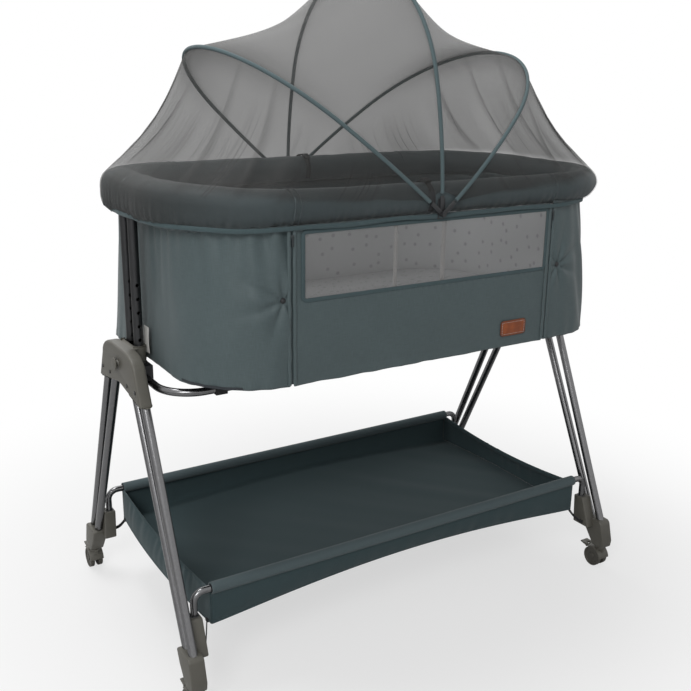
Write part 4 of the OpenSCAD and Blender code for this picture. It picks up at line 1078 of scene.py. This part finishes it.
def make_net_fan(side, sign):
    """The net between the middle hoop and an end hoop."""
    across, down = 220, 36

    def place(u, g):
        f = NET_FOOT + (1 - 2 * NET_FOOT) * u
        a, b = np.array(hoop_line("middle", f)), np.array(hoop_line(side, f))
        px, py, pz = a + (b - a) * g
        n = np.sqrt(px**2 + py**2 + (pz - PIVOT_Z) ** 2)
        sag = 0.030 * hump(g) * hump(u)
        sag -= 0.0012 * lumps(u, 8, 16, 61 + sign) * hump(g)
        return px - px / n * sag, py - py / n * sag, pz - (pz - PIVOT_Z) / n * sag

    net = woven(f"{side}_net_top", across, down, place, (1.1, 0.33), flip=sign < 0)
    u, g = grid_of(net, across, down)
    dark = 0.6 * (bump(g, 0.0, 0.022) + bump(g, 1.0, 0.025))
    dark += 0.75 * hump(u) ** 4 * (bump(g, 1.0, 0.14) + 0.4 * bump(g, 0.0, 0.1))
    weigh(net, "fold", np.clip(dark, 0, 1))
    dress(net, "net", None, replaces=[f"{side}_net_fan"])
    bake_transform(net, "cot", f"{side}_net_hoop", (0, 0, 1.0), (sign * 0.3, 0, 1.0))
    weigh(net, "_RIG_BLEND", g)


def make_hoops():
    """The hoops in their bindings, with a plastic foot on each pivot."""
    for which, body in (("middle", "cot"), ("left", "left_net_hoop"), ("right", "right_net_hoop")):
        path = points(*hoop_line(which, np.linspace(0.007, 0.993, 181)))
        out = path - np.array([0, 0, PIVOT_Z + 0.05])
        tube = band(f"{which}_hoop_binding", path, out, 0.0033, 0.0033, 12)
        dress(tube, "hoop_binding", body, replaces=[f"{which}_hoop"])
        feet = []
        for sy in (-1, 1):
            foot = cube("foot", (0, sy * HOOP_HALF_W[which], 0.0125), (0.0075, 0.0020, 0.033), 0.0008)
            foot.data.transform(Matrix.Rotation(HOOP_LEAN[which], 4, "Y"))
            foot.data.transform(Matrix.Translation((0, 0, PIVOT_Z)))
            feet.append(foot)
        dress(smooth(joined(f"{which}_hoop_feet", feet)), "black_plastic", body)


def make_hem():
    """Bound hem of the net, just below the roll."""
    s = np.linspace(0, 1, 560, endpoint=False)
    x, y, nx, ny = rim_line(s)
    out, z, _ = hem_line(s, x, y, nx, ny)
    out, z = out + 0.0006 + 0.0005 * lumps(s, 20, 60, 71), z + 0.0012 * lumps(s, 9, 20, 72)
    path = points(x + nx * out, y + ny * out, z)
    hem = band("net_hem", path, points(nx, ny, 0), 0.0036, 0.0013, 10, closed=True, power=0.7)
    dress(hem, "hem_cloth", "cot")


# Basket


def make_basket():
    """The basket's tray with its sleeves round the rails, its two ends and its piping."""
    half_l, half_w = BASKET_HALF_L, RAIL_Y
    sleeve = 0.0081

    def end_top(y):
        """Height of the ends' upper edge, which dips in the middle."""
        return RAIL_Z - 0.004 - 0.014 * np.clip(1 - (y / half_w) ** 2, 0, 1)

    def end_swell(y):
        """How far the soft ends are pushed out along their lower edge."""
        return 0.011 * np.clip(1 - (y / half_w) ** 2, 0, 1)

    # section from the front rail, down, over the floor and up to the rear rail
    turns = np.linspace(math.radians(-150), math.radians(170), 14)
    wrap = [(-half_w - sleeve * math.sin(t), RAIL_Z + sleeve * math.cos(t)) for t in turns]
    below = RAIL_Z - sleeve
    front = [(-half_w - 0.0008, below - 0.0005 - (below - FLOOR_Z) * k / 8) for k in range(1, 8)]
    floor = [(-half_w + 0.001 + (2 * half_w - 0.002) * k / 26, FLOOR_Z + 0.001) for k in range(0, 27)]
    back, wrap_back = ([(-y, z) for y, z in reversed(part)] for part in (front, wrap))
    strips = wrap, front, floor, back, wrap_back
    section = np.array(sum(strips, []))
    length = float(np.cumsum(np.linalg.norm(np.diff(section, axis=0), axis=1))[-1])
    kinds = np.repeat(range(5), [len(strip) for strip in strips])

    def place(u, v):
        k = np.rint(v * (len(section) - 1)).astype(int)
        x = (u - 0.5) * 2 * half_l
        y, z = section[k, 0].copy(), section[k, 1].copy()
        edge = np.clip((1 - np.abs(2 * u - 1)) / 0.12, 0, 1)
        lift = (1 - (2 * u - 1) ** 2) ** 1.2
        wall = (kinds[k] == 1) | (kinds[k] == 3)
        depth = np.clip((RAIL_Z - z) / (RAIL_Z - FLOOR_Z), 0, 1)
        sign = np.where(y < 0, -1, 1)
        soft = lumps(u * 0.8 + 0.1, 5, 13, 81) + 0.5 * lumps(u * 0.8 + 0.1, 16, 34, 82)
        y += np.where(wall, sign * (0.0035 * hump(depth) + 0.0016 * soft * depth) * edge, 0)
        y -= np.where(wall, sign * BASKET_DRAW * lift * depth, 0)
        z += np.where(wall, 0.0012 * lumps(u * 0.9, 9, 20, 83) * depth + BASKET_LIFT * lift * depth, 0)
        mid = kinds[k] == 2
        across = 1 - (y / half_w) ** 2
        hang = 0.0035 * across * hump(u) ** 0.5 + 0.0008 * lumps(u * 0.9 + y, 5, 12, 84) * across
        z -= np.where(mid, hang, 0)
        raised = BASKET_LIFT * lift * (0.35 + 0.65 * (y / half_w) ** 2)
        z += np.where(mid, 0.0012 * bump(y, 0.155, 0.0035) + raised, 0)
        y -= np.where(mid, BASKET_DRAW * lift * y / half_w, 0)
        x += np.where(mid, end_swell(y) * (2 * u - 1) * ease(abs(2 * u - 1)), 0)
        return x, y, z

    tray = woven("basket_tray", 240, len(section) - 1, place, (2 * half_l, length), thick=0.0018)
    dress(tray, "basket_cloth", "stand", replaces=["basket"])

    ends = []
    for sign in (-1, 1):
        def end_place(u, v, sign=sign):
            y = (u - 0.5) * 2 * (half_w + 0.0012)
            z = FLOOR_Z + (end_top(y) - FLOOR_Z) * v
            out = 0.0030 * hump(v) * hump(u) ** 0.5
            held = ease(u / 0.1) * ease((1 - u) / 0.1)
            soft = 0.0012 * lumps(u * 0.9, 5, 12, 85 + sign) + 0.0008 * lumps(u * 0.9, 14, 26, 87 + sign)
            out += soft * v * held
            out += end_swell(y) * (1 - v) ** 0.7
            return sign * (half_l - 0.0006 + out), y, z

        end = woven("end", 110, 18, end_place, (2 * half_w, 0.06), thick=0.0018, flip=sign > 0)
        hem_y = np.linspace(-half_w + 0.002, half_w - 0.002, 80)
        path = points(sign * (half_l - 0.0002), hem_y, end_top(hem_y) - 0.003)
        ends += [end, band("hem", path, (sign, 0, 0), 0.0052, 0.0019, 10)]
    ends = joined("basket_ends", ends)
    dress(ends, "basket_cloth", "stand")
    trims = []
    for sign in (-1, 1):
        x = np.linspace(-half_l, half_l, 160)
        lift = (1 - (x / half_l) ** 2) ** 1.2
        path = points(x, sign * (half_w + 0.0014 - BASKET_DRAW * lift), FLOOR_Z + 0.0016 + BASKET_LIFT * lift)
        trims.append(band("trim", path, (0, sign, 0), 0.0022, 0.0014, 8))
        y = np.linspace(-half_w, half_w, 90)
        path = points(sign * (half_l + 0.0008 + end_swell(y)), y, FLOOR_Z + 0.0014)
        trims.append(band("trim", path, (sign, 0, 0), 0.0022, 0.0012, 8))
    dress(joined("basket_piping", trims), "basket_cloth", "stand")


def make_straps():
    """Elastic straps from the basket's lower corners to the feet, and a grommet round each rail's foot."""
    pieces, grommets = [], []
    for sx, sy in RAIL_ENDS:
        top, foot = np.array([sx * 0.4035, sy * 0.2015, 0.123]), np.array([sx * 0.4185, sy * 0.2290, 0.096])
        t = np.linspace(-0.06, 1.05, 26)
        path = top + (foot - top) * t[:, None]
        path[:, 2] -= 0.004 * hump(np.clip(t, 0, 1))
        pieces.append(band("strap", path, (sx, -sy * 0.3, 0.25), 0.0031, 0.0007, 8, power=0.7))
        for at, shift, tall in ((top, -0.0008, 0.00585), (foot, 0.0012, 0.0065)):
            pieces.append(cube("tab", tuple(at + (sx * shift, 0, 0)), (0.0042, 0.0085, tall), 0.0009, 3))
    for sx, sy in RAIL_ENDS:
        at = sx * RAIL_FOOT_X, sy * RAIL_Y, 0.1472
        bpy.ops.mesh.primitive_torus_add(major_segments=28, minor_segments=10, major_radius=0.0068,
                                         minor_radius=0.0013, location=at)
        grommets.append(settle(new_piece("grommet")))
    dress(smooth(joined("rail_grommets", grommets)), "black_plastic", "stand")
    dress(smooth(joined("elastic_straps", pieces)), "webbing", "stand", replaces=["basket_straps"])


# Hard pieces


def softened(node, name, width, segments=3, clamp=True):
    """A copy of a moulded part with its edges rounded."""
    piece = bpy.data.objects.new(name, nodes[node].data.copy())
    piece.data.name = name
    scene.collection.objects.link(piece)
    only(piece)
    if piece.data.has_custom_normals:
        bpy.ops.mesh.customdata_custom_splitnormals_clear()
    with editing(piece):
        bpy.ops.mesh.remove_doubles(threshold=1e-6)
        bpy.ops.mesh.dissolve_limited(angle_limit=math.radians(1.2))
    bevelled(piece, width, segments, 32, use_clamp_overlap=clamp, miter_outer="MITER_ARC")
    return smooth(piece, 35)


def make_moulded():
    """Hubs, buttons, castors and brackets, with their edges rounded."""
    for side in ("left", "right"):
        hub = softened(f"{side}_hub", f"{side}_hub_moulding", 0.004, segments=4, clamp=False)
        dress(hub, "grey_plastic", "stand", replaces=[f"{side}_hub"])
        cap = softened(f"{side}_button", f"{side}_button_cap", 0.0008)
        # a thinner stem leaves room for its rounded shoulder in the hub's hole
        for vertex in cap.data.vertices:
            if math.hypot(vertex.co.y, vertex.co.z - BUTTON_Z) < 0.0072:
                vertex.co.y *= 0.9
                vertex.co.z = BUTTON_Z + (vertex.co.z - BUTTON_Z) * 0.9
        dress(cap, "grey_plastic", f"{side}_release", replaces=[f"{side}_button"])
    for corner in CORNERS:
        for node, name, width, segments, finish, body in (
            ("fork", "castor_hood", 0.0006, 2, "grey_plastic", "castor"),
            ("wheels", "tyres", 0.0032, 4, "wheel_rubber", "wheel_pair"),
            ("brake", "brake_flap", 0.0007, 2, "grey_plastic", "brake_pedal"),
        ):
            piece = softened(f"{corner}_{node}", f"{corner}_{name}", width, segments)
            dress(piece, finish, f"{corner}_{body}", replaces=[f"{corner}_{node}"])
    brackets = softened("base_brackets", "bracket_mouldings", 0.0015)
    dress(brackets, "black_plastic", "cot", replaces=["base_brackets"])


def block(outline, x0, x1):
    """A block between x0 and x1 whose outline is given by y and z."""
    bpy.ops.mesh.primitive_circle_add(vertices=len(outline), fill_type="NGON")
    piece = new_piece("block")
    for vertex, (y, z) in zip(piece.data.vertices, outline):
        vertex.co = (x0, y, z)
    with editing(piece):
        bpy.ops.mesh.extrude_region_move(TRANSFORM_OT_translate={"value": (x1 - x0, 0, 0)})
        bpy.ops.mesh.select_all(action="SELECT")
        bpy.ops.mesh.normals_make_consistent(inside=False)
    return settle(piece)


def make_feet():
    """Each foot is a boot that holds both tubes over the castor, with the basket rail's socket beside it."""
    boot = ((0.2164, 0.1000), (0.2220, 0.1045), (0.2620, 0.1045), (0.2672, 0.1000), (0.2770, 0.0620),
            (0.2750, 0.0480), (0.2490, 0.0480), (0.2265, 0.0780))
    socket = ((0.2025, 0.1470), (0.2265, 0.1470), (0.2480, 0.0880), (0.2060, 0.0880))
    for corner, (sx, sy) in CORNERS.items():
        parts = []
        for outline, x0, x1 in ((boot, 0.4365, 0.4635), (socket, 0.4205, 0.4432)):
            parts.append(block([(sy * y, z) for y, z in outline], sx * x0, sx * x1))
        for part in parts:
            bevelled(part, 0.0026, 4, 25)
        foot = joined(f"{corner}_foot_moulding", parts)
        dress(smooth(foot, 35), "grey_plastic", "stand", replaces=[f"{corner}_foot"])
    # the feet's own rivets would hang in the air beside these slimmer feet
    rivets = softened("stand_rivets", "hub_rivets", 0.0004)
    drop_faces(rivets, lambda c: c.z < 0.3)
    dress(smooth(rivets), "upright_steel", "stand", replaces=["stand_rivets"])


def make_patch():
    """Leather patch with a stitched border."""
    patch_x, patch_z = PATCH_AT
    patch = cube("patch", (patch_x, -0.2546, patch_z), (0.057, 0.0016, 0.028))
    round_edges(patch, 0.005, 6)
    bevelled(patch, 0.0004, 2, 60)
    dress(smooth(patch, 50), "patch_leather", "drop_side", replaces=["leather_patch"])
    wide, tall, count = 0.050, 0.021, 46
    stitches = []
    for k in range(count):
        t = k / count * 2 * (wide + tall)
        if t < wide:
            x, z, flat = t - wide / 2, -tall / 2, True
        elif t < wide + tall:
            x, z, flat = wide / 2, t - wide - tall / 2, False
        elif t < 2 * wide + tall:
            x, z, flat = wide * 1.5 + tall - t, tall / 2, True
        else:
            x, z, flat = -wide / 2, 2 * wide + tall * 1.5 - t, False
        bpy.ops.mesh.primitive_uv_sphere_add(segments=6, ring_count=4, radius=0.00035,
                                             location=(patch_x + x, -0.2555, patch_z + z))
        stitch = new_piece("stitch")
        stitch.scale = (3.2 if flat else 1, 0.8, 1 if flat else 3.2)
        stitches.append(settle(stitch))
    dress(smooth(joined("patch_stitches", stitches)), "label_cloth", "drop_side")


def make_label():
    """Bare label tab, folded at its lower end."""
    wide, tall = 0.022, 0.044

    def place(u, v):
        out = 0.0012 * np.sin(math.pi * v * 0.9) + 0.0006 * hump(u) * v
        return -0.4163 - out, -0.032 + wide * u, 0.580 - tall * v

    tab = woven("folded_label", 10, 24, place, (wide, tall), thick=0.0007, flip=True)
    dress(tab, "label_cloth", "cot", replaces=["label_tab"])


def make_zips():
    """Each zip has a tape, teeth, a welt on both sides and a slider with its pull."""
    for k, (side, x, sign) in enumerate((("left", ZIP_X[0], 1), ("right", ZIP_X[1], -1))):
        path = points(x - sign * 0.0016, -0.2526, np.linspace(0.525, 0.766, 60))
        tape = band(f"{side}_zip_tape", path, (0, -1, 0), 0.0052, 0.0005, 8, power=0.5)
        dress(tape, "hem_cloth", "cot", replaces=["zip_tapes"])
        teeth = cube("tooth", (x, -0.2534, 0.5255), (0.0022, 0.0010, 0.0009), 0.00025, 1)
        work(teeth, "ARRAY", count=148, use_relative_offset=False, use_constant_offset=True,
             constant_offset_displace=(0, 0, 0.00162))
        teeth.name = teeth.data.name = f"{side}_zip_teeth"
        dress(teeth, "zip_coil", "cot")
        for j, shift in enumerate((-0.0046, 0.0046)):
            waver = 0.0004 * lumps(np.linspace(0, 1, 90), 3, 9, 90 + k + 2 * j)
            line = points(x + shift + waver, -0.2538, np.linspace(0.5225, 0.767, 90))
            welt = band(f"{side}_zip_welt_{j}", line, (0, -1, 0), 0.0031, 0.0018, 10)
            dress(welt, "cloth", "cot")
        slider = cube("slider", (x, -0.2545, 0.7525), (0.0062, 0.0024, 0.008))
        round_edges(slider, 0.0022, 4)
        bevelled(slider, 0.0004, 2, 50)
        pull = cube("pull", (x, -0.2563, 0.7455), (0.0032, 0.0012, 0.014))
        round_edges(pull, 0.0012, 3)
        slider = joined(f"{side}_zip_runner", [slider, pull])
        dress(smooth(slider), "zip_metal", f"{side}_zip", replaces=[f"{side}_zip_slider"])


def make_toggles():
    """Round knobs sewn to the cloth beside the zips."""
    knobs = []
    for x, z in TOGGLES:
        f = np.array([(z - CLOTH_LOW) / (0.767 - CLOTH_LOW)])
        cloth_y = float(cloth_point(cloth_arc(f, x, True), f)[1][0])
        bpy.ops.mesh.primitive_cylinder_add(vertices=28, radius=0.0045, depth=0.0022,
                                            location=(x, cloth_y - 0.0004, z), rotation=(math.pi / 2, 0, 0))
        knob = new_piece("knob")
        settle(knob)
        with chosen(knob, "FACE", knob.data.polygons, lambda face: face.normal.y < -0.9):
            bpy.ops.mesh.inset(thickness=0.0016)
            bpy.ops.mesh.extrude_region_move(TRANSFORM_OT_translate={"value": (0, -0.0012, 0)})
        bevelled(knob, 0.0005, 3, 40)
        knobs.append(knob)
    dress(smooth(joined("toggle_knobs", knobs)), "black_plastic", "cot", replaces=["side_toggles"])


def make_rim_straps():
    """Straps over the rim beside the pivots, each with a buckle."""
    clips = []
    for sy, x, lock in ((-1, -0.019, math.radians(75)), (1, 0.018, math.radians(122))):
        a = np.linspace(math.radians(-38), math.radians(215), 44)
        r = RIM_R + 0.0036
        path = points(x, sy * (RIM_HALF_W + r * np.cos(a)), RIM_Z + r * np.sin(a))
        out = points(0, sy * np.cos(a), np.sin(a))
        clips.append(band("clip", path, out, 0.0052, 0.0010, 8, power=0.6))
        buckle = cube("buckle", (0, 0, 0), (0.013, 0.013, 0.0048), 0.0014, 3)
        buckle.data.transform(Matrix.Rotation(sy * (lock - math.pi / 2), 4, "X"))
        high = RIM_R + 0.0060
        y, z = sy * (RIM_HALF_W + high * math.cos(lock)), RIM_Z + high * math.sin(lock)
        buckle.data.transform(Matrix.Translation((x, y, z)))
        clips.append(buckle)
    dress(smooth(joined("rim_straps", clips)), "webbing", "cot", replaces=["net_clips"])


def finish_frame():
    """Finishes of the steel and plastic nodes that show as they are."""
    slots = {row["node"]: row["material_slot"] for row in frame["record"]["subparts"]}
    for name, node in nodes.items():
        if not node.hide_render:
            dress(node, "black_plastic" if name == "hoop_pins" else slots[name], None)


set_camera()
set_light()
make_floor()
make_rim()
make_cot_cloth()
make_panel()
make_windows()
make_lining()
make_mattress()
make_hoops()
for end_side, end_sign in (("left", -1), ("right", 1)):
    make_net_end(end_side, end_sign)
    make_net_fan(end_side, end_sign)
make_hem()
make_basket()
make_straps()
make_moulded()
make_feet()
make_patch()
make_label()
make_zips()
make_toggles()
make_rim_straps()
finish_frame()
